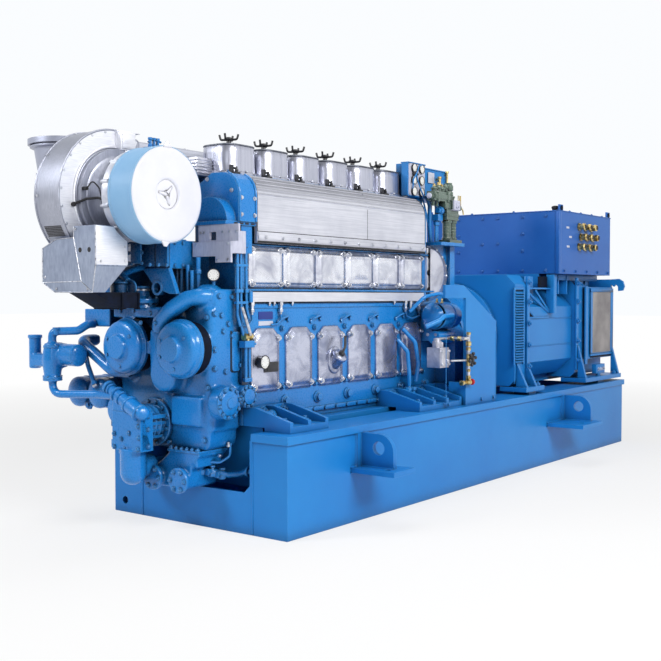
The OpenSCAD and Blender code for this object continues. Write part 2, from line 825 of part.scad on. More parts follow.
// A three-way valve: a closed leg, a body with an elbow on top, a thin pipe
// from below and the drum of its actuator.
module mixing_valve() {
    vx = housing_x - 260;
    body_y = 725;
    leg_y = 880;
    drum_x = vx + 50;
    color(PAINT)
        union() {
            bar_z([vx, body_y, pump_z - 185], 44, 200);
            bar_z([vx, body_y, pump_z - 195], 52, 22);
            bar_z([vx, body_y, pump_z - 120], 52, 90);
            bar_z([vx, leg_y, pump_z - 133], 34, 182);
            bar_z([vx, leg_y, pump_z + 41], 38, 16);
            block([vx - 34, body_y, pump_z - 118], [vx + 34, leg_y, pump_z - 50]);
            pipe_run([[vx, body_y, pump_z - 5], [vx, body_y, pump_z + 80],
                      [vx + 80, 600, pump_z + 84], [vx + 130, 575, pump_z + 120],
                      [housing_x - 80, 575, pump_z + 120]], 24, 26);
            pipe_run([[vx, body_y, pump_z - 185], [vx, body_y, pump_z - 272],
                      [vx + 70, 420, pump_z - 262], [vx + 70, 270, pump_z - 262]], 23, 50);
            bar_x([vx, body_y, pump_z - 56], 24, 60);
            bar_y([drum_x, 560, pump_z - 52], 62, 125);
            bar_y([drum_x, 685, pump_z - 56], 70, 60);
        }
}

// Two thin plates in front of the block, held by a post on its end face.
module junction_plates() {
    plate_t = 14;
    color(SHEET) {
        difference() {
            block([plate_x, -365, deck_z + 2], [plate_x + plate_t, -75, deck_z + 92]);
            block([plate_x - 1, -205, deck_z + 10], [plate_x + plate_t + 1, -158, deck_z + 54]);
        }
        difference() {
            block([plate_x - 12, -320, deck_z - 110], [plate_x + 2, -42, deck_z + 2]);
            block([plate_x - 13, -210, deck_z - 111], [plate_x + 3, -41, deck_z - 76]);
        }
        block([plate_x, -300, deck_z - 60], [bx0, -262, deck_z + 60]);
    }
}

// ----------------------------------------------------------- drive end pieces

module gear_cover() {
    x0 = bx1 - 48;
    z0 = ledge_z + 197;
    // A half oval to the alternator side, its outline as points (x, z).
    function half_oval(a, b) =
        [for (t = [-90:10:90]) [x0 + a * cos(t), z0 + b * sin(t)]];
    color(CAST)
        union() {
            xz_plate(-upper_half - 14, 14, half_oval(279, 190));
            xz_plate(-upper_half - 28, 14, half_oval(215, 176));
            xz_plate(-upper_half - 40, 12, half_oval(171, 165));
            block([x0 - 7, -upper_half - 18, z0 - 175], [x0 + 50, -upper_half, z0 + 175]);
        }
}

module starter_motor() {
    sx = bx1 - 220;
    sy = -case_half - 130;
    sz = ledge_z - 95;
    color(PAINT)
        union() {
            bar_x([sx, sy, sz], 86, 215);
            bar_x([sx - 30, sy, sz], 60, 40);
            bar_x([sx + 10, sy + 10, sz - 145], 46, 200);
            block([sx + 30, sy + 40, sz - 170], [bx1 - 4, -case_half, sz + 50]);
        }
}

module drain_valves() {
    vx = bx1 - 200;
    vy = -hw + 10;
    z0 = rail_z + 150;
    top = z0 + 295;
    r = 11;
    color(BRASS)
        union() {
            bar_z([vx, vy, z0], r + 1, 330);
            bar_z([vx, vy, z0 + 240], 18, 30);
            bar_z([vx, vy, z0 + 10], 18, 30);
            bar_y([vx, vy, z0 + 110], 40, 14);
            bar_x([vx - 60, vy, z0 + 5], r, 62);
            bar_x([vx - 75, vy, top], r, 80);
            block([vx - 260, vy + 60, z0 + 110], [vx - 150, vy + 160, z0 + 240]);
            bar_y([vx - 60, vy, top], r, 120);
            bar_x([vx - 205, vy + 110, top], r, 155);
            bar_z([vx - 200, vy + 110, z0 + 210], r, 96);
        }
}

module instrument_panel() {
    px = cyl_x(cyl_n - 1) + 90;
    color(PAINT)
        union() {
            block([px, -172, cover_z + 6], [px + 220, -118, cover_z + 236]);
            block([px + 45, -118, cover_z + 6], [px + 220, -45, cover_z + 236]);
            block([px + 220, -120, cover_z + 6], [px + 600, 20, cover_z + 226]);
            block([px + 160, -150, deck_z + 66], [px + 220, -60, cover_z + 6]);
        }
}

module pneumatic_valves() {
    px = bx1 + 115;
    y0 = -260;
    z0 = deck_z + 90;
    color(VALVE_GREY)
        union() {
            block([px, y0 - 60, z0], [px + 165, y0 + 60, z0 + 20]);
            bar_z([px + 57, y0, z0 + 20], 30, 140);
            bar_z([px + 127, y0, z0 + 20], 28, 140);
            block([px, y0 - 35, z0 + 160], [px + 160, y0 + 35, z0 + 235]);
            block([px - 25, y0 - 35, z0 + 235], [px + 50, y0 + 35, z0 + 285]);
            block([px - 160, y0 - 33, z0 + 285], [px + 50, y0 + 33, z0 + 350]);
            block([px + 50, y0 - 50, z0 + 235], [px + 145, y0 + 35, z0 + 298]);
            bar_z([px + 86, y0, z0 + 298], 22, 126);
            bar_x([px + 145, y0, z0 + 262], 14, 75);
        }
}

module flywheel_housing() {
    depth = 200;
    color(PAINT)
        union() {
            yz_plate(bx1, depth,
                     [[-430, rail_z + 20], [430, rail_z + 20], [430, shaft_z],
                      [upper_half - 2, ledge_z + 5], [-upper_half + 2, ledge_z + 5],
                      [-430, shaft_z]]);
            block([bx1, -upper_half, ledge_z - 25], [bx1 + 180, 180, deck_z + 66]);
            block([bx1, -320, deck_z + 66], [bx1 + 320, -180, deck_z + 90]);
            block([bx1 + depth - 20, -upper_half + 2, ledge_z + 75], [bx1 + 236, -180, deck_z + 66]);
            block([bx1 + 236, -250, ledge_z + 75], [bx1 + 300, -180, deck_z + 66]);
        }
}

// The round housing of the coupling between flywheel and alternator.
module coupling_housing() {
    x0 = bx1 + 200;
    len = ax0 - x0;
    color(PAINT)
        translate([x0, 0, shaft_z]) rotate([0, 90, 0])
            rotate_extrude()
                polygon([[0, 0], [380, 0], [380, 30], [330, 60], [330, len - 60],
                         [400, len - 30], [400, len], [0, len]]);
}

module guard() {
    x0 = bx1 - 185;
    x1 = bx1 + 240;
    y0 = -hw + 38;
    top = ledge_z + 110;
    union() {
        xz_plate(y0, 20, [[x0, rail_z], [x1, rail_z], [x1, shaft_z + 130], [x0 - 35, top],
                          [x0 - 265, top], [x0 - 265, top - 85], [x0, top - 85]]);
        block([x0, y0, rail_z], [x0 + 16, -490, rail_z + 150]);
        block([x1 - 16, y0, rail_z], [x1, -440, shaft_z + 130]);
    }
}
module flywheel_guards() {
    color(PAINT) both_sides() guard();
}

// ------------------------------------------------------------------ alternator

// Two upright plates with an eye each, one on each side of the machine.
module lifting_lugs(x, z0, z1) {
    lug_t = 30;
    lug_y = ring_half - 60 - lug_t;
    both_sides()
        difference() {
            block([x, lug_y, z0], [x + 150, lug_y + lug_t, z1]);
            bar_y([x + 75, lug_y - 10, z1 - 45], 20, lug_t + 20);
        }
}

module generator_stator() {
    h = ring_half - 30;
    color(PAINT)
        union() {
            yz_plate(ax1, barrel_len,
                     [[-h + 130, shaft_z - 320], [h - 130, shaft_z - 320],
                      [h, shaft_z - 200], [h, shaft_z + 220], [h - 150, barrel_top],
                      [-h + 150, barrel_top], [-h, shaft_z + 220], [-h, shaft_z - 200]]);
            keel(ax1, ax2, shaft_z - 320);
            lifting_lugs(ax1 + 60, barrel_top - 130, barrel_top + 84);
        }
}

// The low middle strip of the alternator's casing, up to height top.
module keel(x0, x1, top) {
    block([x0, -keel_half, rail_z + 30], [x1, keel_half, top]);
}

module end_frame(x, len) {
    cut = 70;
    low = rail_z + 60;
    keel(x, x + len, low);
    yz_plate(x, len,
             [[-ring_half + 40, low], [ring_half - 40, low], [ring_half, low + 40],
              [ring_half, ring_top_z - cut], [ring_half - cut, ring_top_z],
              [-ring_half + cut, ring_top_z], [-ring_half, ring_top_z - cut],
              [-ring_half, low + 40]]);
}
module generator_end_frames() {
    color(PAINT) {
        end_frame(ax0, front_ring_len);
        end_frame(ax2, ax3 - ax2);
        block([box_x, -neck_half, barrel_top], [ax2, neck_half, box_z]);
        block([ax2, -neck_half, ring_top_z], [ax3, neck_half, box_z]);
    }
}

// The air housing behind the stator, with a flange, two lifting lugs on top and
// a hook at each rear corner.
module generator_rear_housing() {
    color(PAINT)
        union() {
            block([ax3, -ring_half - 20, shaft_z - 220], [ax4, ring_half + 20, tail_top]);
            block([ax3, -neck_half, tail_top], [ax4 - 200, neck_half, box_z]);
            block([ax3, -ring_half + 60, rail_z + 70], [ax4 - 60, ring_half - 60, shaft_z - 220]);
            keel(ax3, ax4 - 60, rail_z + 70);
            block([ax4 - 34, -ring_half - 20, tail_top], [ax4 - 10, ring_half + 20, tail_top + 70]);
            lifting_lugs(ax3 + 60, tail_top, tail_top + 84);
            both_sides()
                translate([0, ring_half + 20, tail_top])
                    yz_plate(ax4 - 34, 24,
                             [[0, 26], [0, 70], [70, 74], [105, 52], [118, 8], [104, -28],
                              [64, -32], [62, 6], [44, 26], [24, 6]]);
        }
}

// Soles on spacer blocks, with ribs up to the frames of the alternator.
module generator_feet() {
    sole_z = rail_z + 20;
    sole_t = 34;
    rib_t = 26;
    out = hw - 18;
    spacer_y = out - 140;
    color(PAINT)
        both_sides() {
            union() {
                block([ax0, beam_in, sole_z], [ax0 + 300, out, sole_z + sole_t]);
                for (x = [ax0 + 30, ax0 + 180])
                    yz_plate(x, rib_t, [[ring_half, sole_z + sole_t], [out - 10, sole_z + sole_t],
                                        [ring_half, shaft_z - 180]]);
                block([ax0 + 80, spacer_y, rail_z], [ax0 + 200, out - 20, sole_z]);
            }
            union() {
                block([ax2, beam_in, sole_z], [ax4 + 10, out, sole_z + sole_t]);
                for (x = [ax2 + 20, ax4 - 30])
                    yz_plate(x, rib_t, [[ring_half + 20, sole_z + sole_t],
                                        [out - 10, sole_z + sole_t], [ring_half + 20, shaft_z - 100]]);
                block([ax2 + 300, spacer_y, rail_z], [ax2 + 420, out - 20, sole_z]);
            }
        }
}

module terminal_box() {
    color(DARK_PAINT)
        block([box_x, -box_half, box_z], [box_x + box_len, box_half, box_z + box_h]);
}

module cable_glands() {
    gx = box_x + 370;
    color(BRASS)
        for (i = [0:2], k = [0:2])
            bar_y([gx + 117 * i + (k == 1 ? 35 : 0), -box_half - 45, box_z + 220 + 81 * k], 24, 45);
}

frame_beams();
cross_beams();
drip_tray();
top_plates();
end_plates();
mounting_brackets();
oil_sump();
engine_block();
engine_feet();
crankcase_covers();
camshaft_covers();
cover_rail();
hot_box_panel();
hot_box_end_caps();
cylinder_heads();
rocker_covers();
cover_handles();
exhaust_duct();
turbine_insulation();
turbo_centre_housing();
air_silencer();
exhaust_outlet();
heat_shield();
air_cooler();
pump_housing();
water_pumps();
thermostat_housing();
water_manifold();
oil_pump();
twin_branch_pipe();
oil_filter_module();
mixing_valve();
junction_plates();
gear_cover();
starter_motor();
drain_valves();
instrument_panel();
pneumatic_valves();
flywheel_housing();
coupling_housing();
flywheel_guards();
generator_stator();
generator_end_frames();
generator_rear_housing();
generator_feet();
terminal_box();
cable_glands();
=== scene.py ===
"""Looks of a six-cylinder diesel generating set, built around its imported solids.
All sizes are metres: +X runs to the alternator end, -Y is the camshaft side, +Z is up."""
import math

import bmesh
import bpy
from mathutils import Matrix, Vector


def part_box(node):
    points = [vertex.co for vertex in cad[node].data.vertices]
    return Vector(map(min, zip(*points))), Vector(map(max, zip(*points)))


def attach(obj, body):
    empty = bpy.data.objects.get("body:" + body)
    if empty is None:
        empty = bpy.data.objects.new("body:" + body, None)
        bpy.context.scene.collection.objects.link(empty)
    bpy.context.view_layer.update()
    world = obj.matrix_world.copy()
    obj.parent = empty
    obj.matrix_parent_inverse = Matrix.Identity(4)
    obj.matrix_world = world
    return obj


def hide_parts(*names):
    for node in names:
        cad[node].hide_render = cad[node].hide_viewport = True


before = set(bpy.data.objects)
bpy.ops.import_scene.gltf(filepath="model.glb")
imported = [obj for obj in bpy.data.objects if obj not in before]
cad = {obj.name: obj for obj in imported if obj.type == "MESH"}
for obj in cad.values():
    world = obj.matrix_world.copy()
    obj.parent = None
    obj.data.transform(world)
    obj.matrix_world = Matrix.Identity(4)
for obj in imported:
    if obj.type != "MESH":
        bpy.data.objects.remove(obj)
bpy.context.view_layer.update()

# ---------------------------------------------------------------- camera
# A long view from beyond the pump end on the camshaft side, a little over a
# metre above the floor, looking slightly down along the machine.
eye = Vector((-6.2827, -3.9550, 1.2589))
turn, dip = math.radians(37.082), math.radians(1.903)
lens_data = bpy.data.cameras.new("view")
lens_data.lens = 55.34
lens_data.sensor_width = 36.0
lens_data.clip_end = 200
camera = bpy.data.objects.new("view", lens_data)
bpy.context.scene.collection.objects.link(camera)
camera.location = eye
sight = Vector((math.cos(turn) * math.cos(dip), math.sin(turn) * math.cos(dip), -math.sin(dip)))
camera.rotation_euler = sight.to_track_quat("-Z", "Y").to_euler()
bpy.context.scene.camera = camera

# ---------------------------------------------------------------- base frame
# Two long box beams of welded plate with a thicker top plate on each, closed
# by plates at both ends. All of it wears one coat of blue machinery enamel,
# rolled and sprayed over plate, with weld beads where plates meet.


def linear(text):
    """An sRGB hex colour as linear RGBA."""
    parts = [int(text[k:k + 2], 16) / 255 for k in (1, 3, 5)]
    return [p / 12.92 if p <= 0.04045 else ((p + 0.055) / 1.055) ** 2.4 for p in parts] + [1.0]


def add(tree, kind, sockets=None, **settings):
    """Adds one node, sets its settings, and sets or links its sockets."""
    node = tree.nodes.new(kind)
    for name, value in settings.items():
        setattr(node, name, value)
    for name, value in (sockets or {}).items():
        if isinstance(value, bpy.types.NodeSocket):
            tree.links.new(value, node.inputs[name])
        else:
            node.inputs[name].default_value = value
    return node


def blank_finish(name, **surface):
    """A material with one Principled shader; returns it, its tree, the shader and the place."""
    made = bpy.data.materials.new(name)
    made.use_nodes = True
    tree = made.node_tree
    tree.nodes.clear()
    shader = add(tree, "ShaderNodeBsdfPrincipled", {k.replace("_", " "): v for k, v in surface.items()})
    add(tree, "ShaderNodeOutputMaterial", {"Surface": shader.outputs["BSDF"]})
    place = add(tree, "ShaderNodeTexCoord").outputs["Object"]
    return made, tree, shader, place


def blend_of(tree, factor, stops):
    """Colours between the stops, each a position and a hex colour."""
    ramp = add(tree, "ShaderNodeValToRGB", {"Fac": factor})
    ramp.color_ramp.elements[0].position, ramp.color_ramp.elements[0].color = stops[0][0], linear(stops[0][1])
    ramp.color_ramp.elements[1].position, ramp.color_ramp.elements[1].color = stops[-1][0], linear(stops[-1][1])
    for at, text in stops[1:-1]:
        ramp.color_ramp.elements.new(at).color = linear(text)
    return ramp.outputs["Color"]


def spread(tree, value, span, low, high):
    """Maps a value that lies within span onto low to high."""
    sockets = {"Value": value, "From Min": span[0], "From Max": span[1], "To Min": low, "To Max": high}
    return add(tree, "ShaderNodeMapRange", sockets).outputs["Result"]


def relief(tree, shader, height, depth, strength, edge):
    """Fine relief over corners that are rounded by edge; returns the rounded normal."""
    rounded = add(tree, "ShaderNodeBevel", {"Radius": edge}, samples=4).outputs["Normal"]
    bump = add(tree, "ShaderNodeBump", {"Height": height, "Distance": depth, "Strength": strength, "Normal": rounded})
    tree.links.new(bump.outputs["Normal"], shader.inputs["Normal"])
    return rounded


def mixed(tree, share, first, second):
    """One colour over another by a share."""
    return add(tree, "ShaderNodeMix", {"Factor": share, "A": first, "B": second}, data_type="RGBA").outputs["Result"]


def enamel(name, deep, face, rim, rough, grain, depth, edge, reach=0.12, painted_shade=0.85, coat=0.0):
    """Enamel on cast iron or plate. grain is the size of its unevenness, edge the rounding
    of the corners, where the coat is thin and worn and a painted highlight lightens it.
    Painted shade darkens recesses narrower than reach, by up to painted_shade. coat is a glossy top coat."""
    made, tree, shader, place = blank_finish(name, Specular_IOR_Level=0.35, Coat_Weight=coat, Coat_Roughness=0.07)
    drift = add(tree, "ShaderNodeTexNoise", {"Vector": place, "Scale": 1.7, "Detail": 5.0, "Roughness": 0.6})
    speck = add(tree, "ShaderNodeTexNoise", {"Vector": place, "Scale": 1 / grain, "Detail": 3.0})
    rounded = relief(tree, shader, speck.outputs["Fac"], depth, 0.5, edge)
    flat = add(tree, "ShaderNodeNewGeometry").outputs["Normal"]
    same = add(tree, "ShaderNodeVectorMath", {0: rounded, 1: flat}, operation="DOT_PRODUCT").outputs["Value"]
    tone = blend_of(tree, drift.outputs["Fac"], [(0.30, deep), (0.62, face)])
    # corners lighter by the rim colour: thin worn enamel, and a painted highlight
    worn_and_highlit = mixed(tree, spread(tree, same, (0.99, 0.80), 0.0, 0.55), tone, linear(rim))
    # painted shade: recesses narrower than reach are darkened towards near-black by ambient occlusion
    open_air = add(tree, "ShaderNodeAmbientOcclusion", {"Distance": reach}, samples=5).outputs["AO"]
    shade_in_recesses = mixed(tree, spread(tree, open_air, (0.72, 0.18), 0.0, painted_shade), worn_and_highlit, linear("#050d1e"))
    tree.links.new(shade_in_recesses, shader.inputs["Base Color"])
    tree.links.new(spread(tree, speck.outputs["Fac"], (0.3, 0.7), rough - 0.05, rough + 0.07),
        shader.inputs["Roughness"])
    return made


# Rolled plate under enamel: almost flat, faint roller texture of 6 mm.
plate_enamel = enamel("blue_enamel_on_plate", "#1a7bca", "#1f85d2", "#5aa6e2", 0.36, 0.006, 0.0006, 0.004)
# Sand-cast iron under thick enamel: soft corners, 9 mm casting texture, glossier, deep painted shade in recesses.
cast_enamel = enamel("blue_enamel_on_cast_iron", "#187bca", "#1f88d6", "#6ab2ea", 0.28, 0.009, 0.0016, 0.009,
    reach=0.24, painted_shade=0.93, coat=0.35)


def wear(node, material):
    """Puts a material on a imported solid."""
    slots = cad[node].data.materials
    slots.clear()
    slots.append(material)


def finished(name, shape, material=cast_enamel, sharp=35.0, soften=0.0):
    """Closes a bmesh into an object that rides on the machine: corners sharper than 30 degrees
    are rounded by soften, and what is left sharper than sharp degrees stays a crease."""
    bmesh.ops.remove_doubles(shape, verts=shape.verts, dist=1e-6)
    bmesh.ops.recalc_face_normals(shape, faces=shape.faces)
    if soften:
        edges = [e for e in shape.edges if len(e.link_faces) == 2 and e.calc_face_angle(0) > 0.5]
        bmesh.ops.bevel(shape, geom=edges, offset=soften, segments=2, profile=0.6, affect="EDGES", clamp_overlap=True)
    for face in shape.faces:
        face.smooth = True
    for edge in shape.edges:
        if len(edge.link_faces) == 2 and edge.calc_face_angle(0) > math.radians(sharp):
            edge.smooth = False
    mesh = bpy.data.meshes.new(name)
    shape.to_mesh(mesh)
    shape.free()
    mesh.materials.append(material)
    piece = bpy.data.objects.new(name, mesh)
    bpy.context.scene.collection.objects.link(piece)
    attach(piece, "root")
    return piece


def square_to(direction):
    """Two directions square to this one and to each other."""
    out = Vector(direction).normalized()
    side = out.cross(Vector((0, 0, 1)) if abs(out.z) < 0.9 else Vector((1, 0, 0))).normalized()
    return out, side, side.cross(out).normalized() * -1


def ring_of(shape, centre, side, up, radius, count, start=0.0):
    return [shape.verts.new(centre + side * (radius * math.cos(start + 2 * math.pi * k / count)) + up
        * (radius * math.sin(start + 2 * math.pi * k / count))) for k in range(count)]


def walls(shape, lower, upper):
    for k in range(len(lower)):
        n = (k + 1) % len(lower)
        shape.faces.new((lower[k], lower[n], upper[n], upper[k]))


def swept(shape, path, radius, count=10, ripple=0.0):
    """A round bar or pipe along a path of points; ripple swells every second ring, as weld does."""
    path = [Vector(p) for p in path]
    side = None
    last = None
    for k, point in enumerate(path):
        ahead = (path[min(k + 1, len(path) - 1)] - path[max(k - 1, 0)]).normalized()
        if side is None:
            side = square_to(ahead)[1]
        side = (side - ahead * side.dot(ahead)).normalized()
        ring = ring_of(shape, point, side, ahead.cross(side), radius * (1 + ripple * (k % 2)), count)
        if last:
            walls(shape, last, ring)
        else:
            shape.faces.new(list(reversed(ring)))
        last = ring
    shape.faces.new(last)


def smooth_run(points, bend, cuts=5):
    """A path through the points with every corner rounded by an arc of radius bend."""
    points = [Vector(p) for p in points]
    path = [points[0]]
    for a, b, c in zip(points, points[1:], points[2:]):
        u, w = (a - b).normalized(), (c - b).normalized()
        angle = u.angle(w)
        cut = min(bend / math.tan(angle / 2), (a - b).length * 0.49, (c - b).length * 0.49) if angle < 3.1 else 0
        if cut <= 0:
            path.append(b)
            continue
        p, q = b + u * cut, b + w * cut
        path += [p.lerp(b, t).lerp(b.lerp(q, t), t) for t in [k / cuts for k in range(cuts + 1)]]
    return path + [points[-1]]


def piped(shape, points, bend, radius, count=10):
    """A bent pipe through the points."""
    swept(shape, smooth_run(points, bend), radius, count)


def welded(shape, start, end, radius):
    """A fillet weld with a ripple each 7 mm."""
    start, end = Vector(start), Vector(end)
    count = max(3, int((end - start).length / 0.007))
    swept(shape, [start.lerp(end, k / count) for k in range(count + 1)], radius, 6, 0.18)


beam_lo, beam_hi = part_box("frame_beams")
bracket_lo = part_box("mounting_brackets")[0]
for node in ("frame_beams", "cross_beams", "drip_tray", "top_plates", "end_plates", "mounting_brackets"):
    wear(node, plate_enamel)
beam_in = 0.421          # inner face of the side beams from the middle
foot_top = bracket_lo.z + 0.028
foot_spans = ((-1.7355, -1.5255), (0.7795, 1.1495))   # ends of the foot plates along the beam
lift_plates = (-1.6305, 1.0845)                       # middles of the upright lifting plates
seams = bmesh.new()
for side in (-1, 1):
    skin = side * beam_hi.y
    for x0, x1 in foot_spans:
        welded(seams, (x0, skin, foot_top), (x1, skin, foot_top), 0.007)
        welded(seams, (x0, skin, bracket_lo.z), (x1, skin, bracket_lo.z), 0.007)
    for x in lift_plates:
        for off in (-0.055, 0.055):
            welded(seams, (x + off, skin, foot_top), (x + off, skin, beam_hi.z), 0.006)
        for off in (-0.015, 0.015):
            welded(seams, (x + off, skin + side * 0.012, foot_top), (x + off, side * 0.882, foot_top), 0.006)
    for x in (beam_lo.x + 0.001, beam_hi.x - 0.001):
        welded(seams, (x, side * beam_in, 0.004), (x, side * beam_in, beam_hi.z), 0.006)
for x in (-0.06, 0.06, 0.7325, 0.8525, 1.6075, 1.7275):
    for side in (-1, 1):
        welded(seams, (x, side * beam_in, 0.006), (x, side * beam_in, beam_hi.z), 0.006)
finished("frame_welds", seams, plate_enamel, sharp=80)

# ---------------------------------------------------------------- bolts
# Zinc-plated hexagon bolts on washers, and the same bolts painted over. One
# tree sets a head on each point of a list, turned to face outwards.


def mottled(name, scale, detail, stops, rough=None, **surface):
    """A finish whose colour and roughness drift together, scale patches to the metre."""
    made, tree, shader, place = blank_finish(name, **surface)
    patch = add(tree, "ShaderNodeTexNoise", {"Vector": place, "Scale": scale, "Detail": detail})
    tree.links.new(blend_of(tree, patch.outputs["Fac"], stops), shader.inputs["Base Color"])
    if rough:
        tree.links.new(spread(tree, patch.outputs["Fac"], (0.0, 1.0), *rough), shader.inputs["Roughness"])
    return made


zinc = mottled("zinc_plated_steel", 55.0, 3.0, [(0.3, "#a9abb4"), (0.6, "#e2e4ea")], (0.2, 0.42), Metallic=1.0)

head_tree = bpy.data.node_groups.new("bolt_heads", "GeometryNodeTree")
face = head_tree.interface
face.new_socket("Places", in_out="INPUT", socket_type="NodeSocketGeometry")
for label, size in (("Head radius", 0.009), ("Head height", 0.007), ("Washer radius", 0.011),
        ("Washer height", 0.002), ("Stud radius", 0.0045), ("Stud height", 0.004)):
    face.new_socket(label, in_out="INPUT", socket_type="NodeSocketFloat").default_value = size
face.new_socket("Sides", in_out="INPUT", socket_type="NodeSocketInt").default_value = 6
face.new_socket("Finish", in_out="INPUT", socket_type="NodeSocketMaterial")
face.new_socket("Heads", in_out="OUTPUT", socket_type="NodeSocketGeometry")
given = add(head_tree, "NodeGroupInput").outputs
stack = []
height = None
for radius, rise, sides in (("Washer radius", "Washer height", 14), ("Head radius", "Head height", None),
        ("Stud radius", "Stud height", 8)):
    can = add(head_tree, "GeometryNodeMeshCylinder", {"Radius": given[radius], "Depth": given[rise],
        "Vertices": given["Sides"] if sides is None else sides})
    half = add(head_tree, "ShaderNodeMath", {0: given[rise], 1: 0.5}, operation="MULTIPLY").outputs[0]
    middle = half if height is None else add(head_tree, "ShaderNodeMath", {0: half, 1: height},
        operation="ADD").outputs[0]
    height = given[rise] if height is None else add(head_tree, "ShaderNodeMath", {0: given[rise], 1: height},
        operation="ADD").outputs[0]
    lift = add(head_tree, "ShaderNodeCombineXYZ", {"Z": middle})
    stack.append(add(head_tree, "GeometryNodeTransform", {"Geometry": can.outputs["Mesh"],
        "Translation": lift.outputs["Vector"]}).outputs["Geometry"])
one_head = add(head_tree, "GeometryNodeJoinGeometry")
for part in reversed(stack):
    head_tree.links.new(part, one_head.inputs[0])
facing = add(head_tree, "GeometryNodeInputNamedAttribute", {"Name": "facing"}, data_type="FLOAT_VECTOR")
aim = add(head_tree, "FunctionNodeAlignRotationToVector", {"Vector": facing.outputs["Attribute"]}, axis="Z")
spin = add(head_tree, "FunctionNodeRandomValue", {"Min": 0.0, "Max": 1.0, "Seed": 4}, data_type="FLOAT")
spin_z = add(head_tree, "ShaderNodeCombineXYZ", {"Z": [o for o in spin.outputs if o.enabled][0]})
turned_aim = add(head_tree, "FunctionNodeRotateRotation", {"Rotation": aim.outputs["Rotation"]},
    rotation_space="LOCAL")
euler = add(head_tree, "FunctionNodeEulerToRotation", {"Euler": spin_z.outputs["Vector"]})
head_tree.links.new(euler.outputs["Rotation"], turned_aim.inputs["Rotate By"])
set_on = add(head_tree, "GeometryNodeInstanceOnPoints", {"Points": given["Places"], "Instance": one_head.outputs[0],
    "Rotation": turned_aim.outputs["Rotation"]})
real = add(head_tree, "GeometryNodeRealizeInstances", {"Geometry": set_on.outputs["Instances"]})
coat = add(head_tree, "GeometryNodeSetMaterial", {"Geometry": real.outputs["Geometry"], "Material": given["Finish"]})
add(head_tree, "NodeGroupOutput", {"Heads": coat.outputs["Geometry"]})


def grown(name, tree, mesh, sizes, crease=30.0):
    """Runs a geometry tree over a mesh and keeps the plain result as a piece of the machine."""
    piece = bpy.data.objects.new(name, mesh)
    bpy.context.scene.collection.objects.link(piece)
    step = piece.modifiers.new("made", "NODES")
    step.node_group = tree
    for socket in tree.interface.items_tree:
        if socket.name in sizes and socket.in_out == "INPUT":
            step[socket.identifier] = sizes[socket.name]
    bpy.context.view_layer.update()
    result = bpy.data.meshes.new_from_object(piece.evaluated_get(bpy.context.evaluated_depsgraph_get()))
    piece.modifiers.clear()
    piece.data = result
    result.shade_smooth()
    result.set_sharp_from_angle(angle=math.radians(crease))
    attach(piece, "root")
    return piece


def bolted(name, places, m, material=cast_enamel, washer=1.25, stud=0.0, sides=6, low=0.62):
    """Bolts of thread size m millimetres at places, each (x, y, z, facing)."""
    mesh = bpy.data.meshes.new(name)
    mesh.from_pydata([p[:3] for p in places], [], [])
    way = mesh.attributes.new("facing", "FLOAT_VECTOR", "POINT")
    for k, p in enumerate(places):
        way.data[k].vector = p[3]
    m *= 0.001
    return grown(name, head_tree, mesh, {"Head radius": 0.87 * m, "Head height": low * m,
        "Washer radius": washer * 0.87 * m, "Washer height": 0.16 * m, "Stud radius": 0.45 * m,
        "Stud height": stud * m + 0.0002, "Sides": sides, "Finish": material})


NEAR, FAR = Vector((0, -1, 0)), Vector((0, 1, 0))
UP, DOWN = Vector((0, 0, 1)), Vector((0, 0, -1))
BACK, AHEAD = Vector((-1, 0, 0)), Vector((1, 0, 0))   # to the pump end, to the alternator end
outward = {-1: NEAR, 1: FAR}                          # by the side's sign

# ---------------------------------------------------------------- engine block
# One grey iron casting with the crankcase below and the camshaft space above,
# closed at the bottom by a welded sump. Both wear the thick enamel.
block_lo, block_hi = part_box("engine_block")
wear("engine_block", cast_enamel)
wear("oil_sump", plate_enamel)
cylinder = [block_lo.x + 0.210 + 0.300 * k for k in range(6)]   # cylinder centres, 300 mm apart
ledge = 1.225            # top of the crankcase, where the wall steps in


def boxed(shape, lo, hi):
    """A box between two corners."""
    lo, hi = Vector(lo), Vector(hi)
    made = bmesh.ops.create_cube(shape, size=1.0)["verts"]
    for v in made:
        v.co = Vector([(lo[k] + hi[k]) / 2 + v.co[k] * abs(hi[k] - lo[k]) for k in range(3)])
    return made


def mm(*pairs):
    """Pairs of millimetres in metres."""
    return [(a / 1000, b / 1000) for a, b in pairs]


def turned(shape, origin, axis, profile, count=40):
    """A round form: profile is a list of (distance along the axis, radius)."""
    out, side, up = square_to(axis)
    origin = Vector(origin)
    last = None
    for along, radius in profile:
        ring = ring_of(shape, origin + out * along, side, up, max(radius, 0.0004), count)
        if last:
            walls(shape, last, ring)
        else:
            shape.faces.new(list(reversed(ring)))
        last = ring
    shape.faces.new(last)


block_trim = bmesh.new()
for side in (-1, 1):
    y = side * block_hi.y
    # sump joint flange, the round plugs on their bosses and the rib over the doors
    boxed(block_trim, (block_lo.x + 0.02, y, 0.586), (block_hi.x - 0.02, y + side * 0.014, 0.612))
    boxed(block_trim, (block_lo.x + 0.004, y, ledge - 0.03), (block_hi.x - 0.004, y + side * 0.006, ledge - 0.004))
    for x in cylinder:
        turned(block_trim, (x + 0.150, y, 0.667), outward[side], mm((0, 36), (8, 34), (10, 26), (10, 24)), 24)
        for z in (0.70, 1.03):
            turned(block_trim, (x + 0.120, y, z + 0.05), outward[side], mm((0, 17), (12, 15)), 14)
finished("block_bosses", block_trim, soften=0.003)
plugs = [(x + 0.150, side * (block_hi.y + 0.010), 0.667, outward[side]) for x in cylinder for side in (-1, 1)]
bolted("oil_gallery_plugs", plugs, 26, washer=1.2, low=0.5)
joint = [(block_lo.x + 0.06 + 0.11 * k, side * (block_hi.y + 0.014), 0.599, outward[side]) for k in range(18)
    for side in (-1, 1)]
